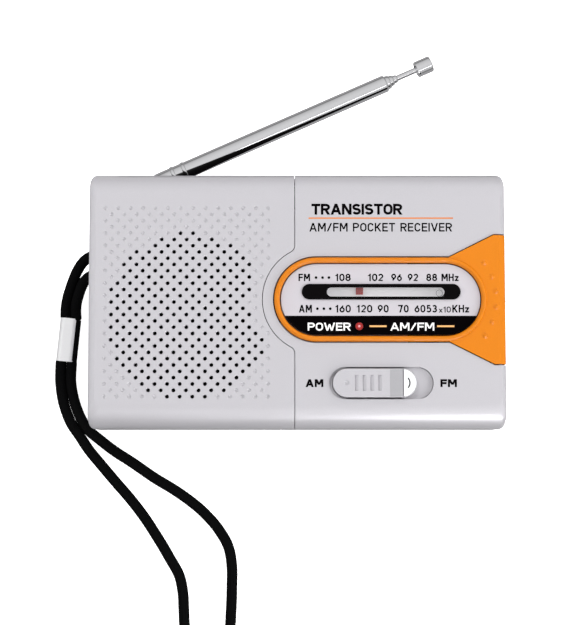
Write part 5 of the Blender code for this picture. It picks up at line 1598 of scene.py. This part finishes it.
def make_world():
    world = bpy.data.worlds.new("studio")
    bpy.context.scene.world = world
    world.use_nodes = True
    tree = world.node_tree
    back = tree.nodes["Background"]
    place = tree.nodes.new("ShaderNodeTexCoord")
    parts = tree.nodes.new("ShaderNodeSeparateXYZ")
    tree.links.new(place.outputs["Generated"], parts.inputs["Vector"])
    height = tree.nodes.new("ShaderNodeMapRange")
    height.inputs["From Min"].default_value = -1
    height.inputs["From Max"].default_value = 1
    tree.links.new(parts.outputs["Z"], height.inputs["Value"])
    ramp = tree.nodes.new("ShaderNodeValToRGB")
    stops = ((0.0, 0.5), (0.45, 0.45), (0.5, 0.12), (0.56, 0.34))
    stops += ((0.66, 0.64), (0.8, 0.8), (0.93, 0.88), (1.0, 0.95))
    elements = ramp.color_ramp.elements
    while len(elements) < len(stops):
        elements.new(0.5)
    for element, (position, value) in zip(elements, stops):
        element.position = position
        element.color = (value, value, value * 1.01, 1)
    tree.links.new(height.outputs["Result"], ramp.inputs["Fac"])
    tree.links.new(ramp.outputs["Color"], back.inputs["Color"])
    back.inputs["Strength"].default_value = 0.68


def make_light():
    make_world()
    key = area_light("key_softbox", (-0.24, 0.34, 0.6), (0, 0, 0), 0.14, 0.14, 1.6)
    hide_from(key, "glossy")
    place, target = (0.23, -0.31, 0.185), (0.03, -0.03, 0.015)
    corner = area_light("corner_softbox", place, target, 0.36, 0.17, 0.98)
    hide_from(corner, "glossy")
    # The gleam on the lower right shoulder, small so that it doesn't whiten the face from behind.
    place, target = (0.135, -0.36, 0.165), (0.04, -0.033, 0.015)
    gleam = area_light("gleam_softbox", place, target, 0.19, 0.15, 0.66)
    hide_from(gleam, "diffuse")
    sides = (("right", 0.45, 0.03, 1.15), ("left", -0.45, 0.03, 1.0), ("far", 0.1, 0.45, 0.7))
    for name, x, y, power in sides:
        side = area_light(f"{name}_softbox", (x, y, 0.22), (x / 9, y / 14, 0.02), 0.25, 0.25, power)
        hide_from(side, "glossy")
    strip = area_light("strip_softbox", (0.12, -0.27, 0.42), (0, 0.05, 0.01), 0.7, 0.032, 0.2)
    hide_from(strip, "diffuse")
    bpy.context.scene.view_settings.view_transform = "Standard"
    bpy.context.scene.view_settings.look = "None"


make_camera()
make_strap()
refinish_cad_nodes()
make_speaker_panel()
make_front_case()
make_back_case()
make_battery_door()
make_case_screws()
make_dial_surround()
make_dial_plate()
make_slot_end_painted_shade_ring()
make_power_led()
make_prints()
make_band_switch()
make_thumbwheels()
make_cells()
make_aerial()
make_floor()
make_backdrop()
make_flag()
make_light()
with open("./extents.json", "w") as report:
    json.dump({"cad": [list(corner) for corner in CAD_BOX], "visual": [list(corner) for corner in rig.bounds()]}, report)
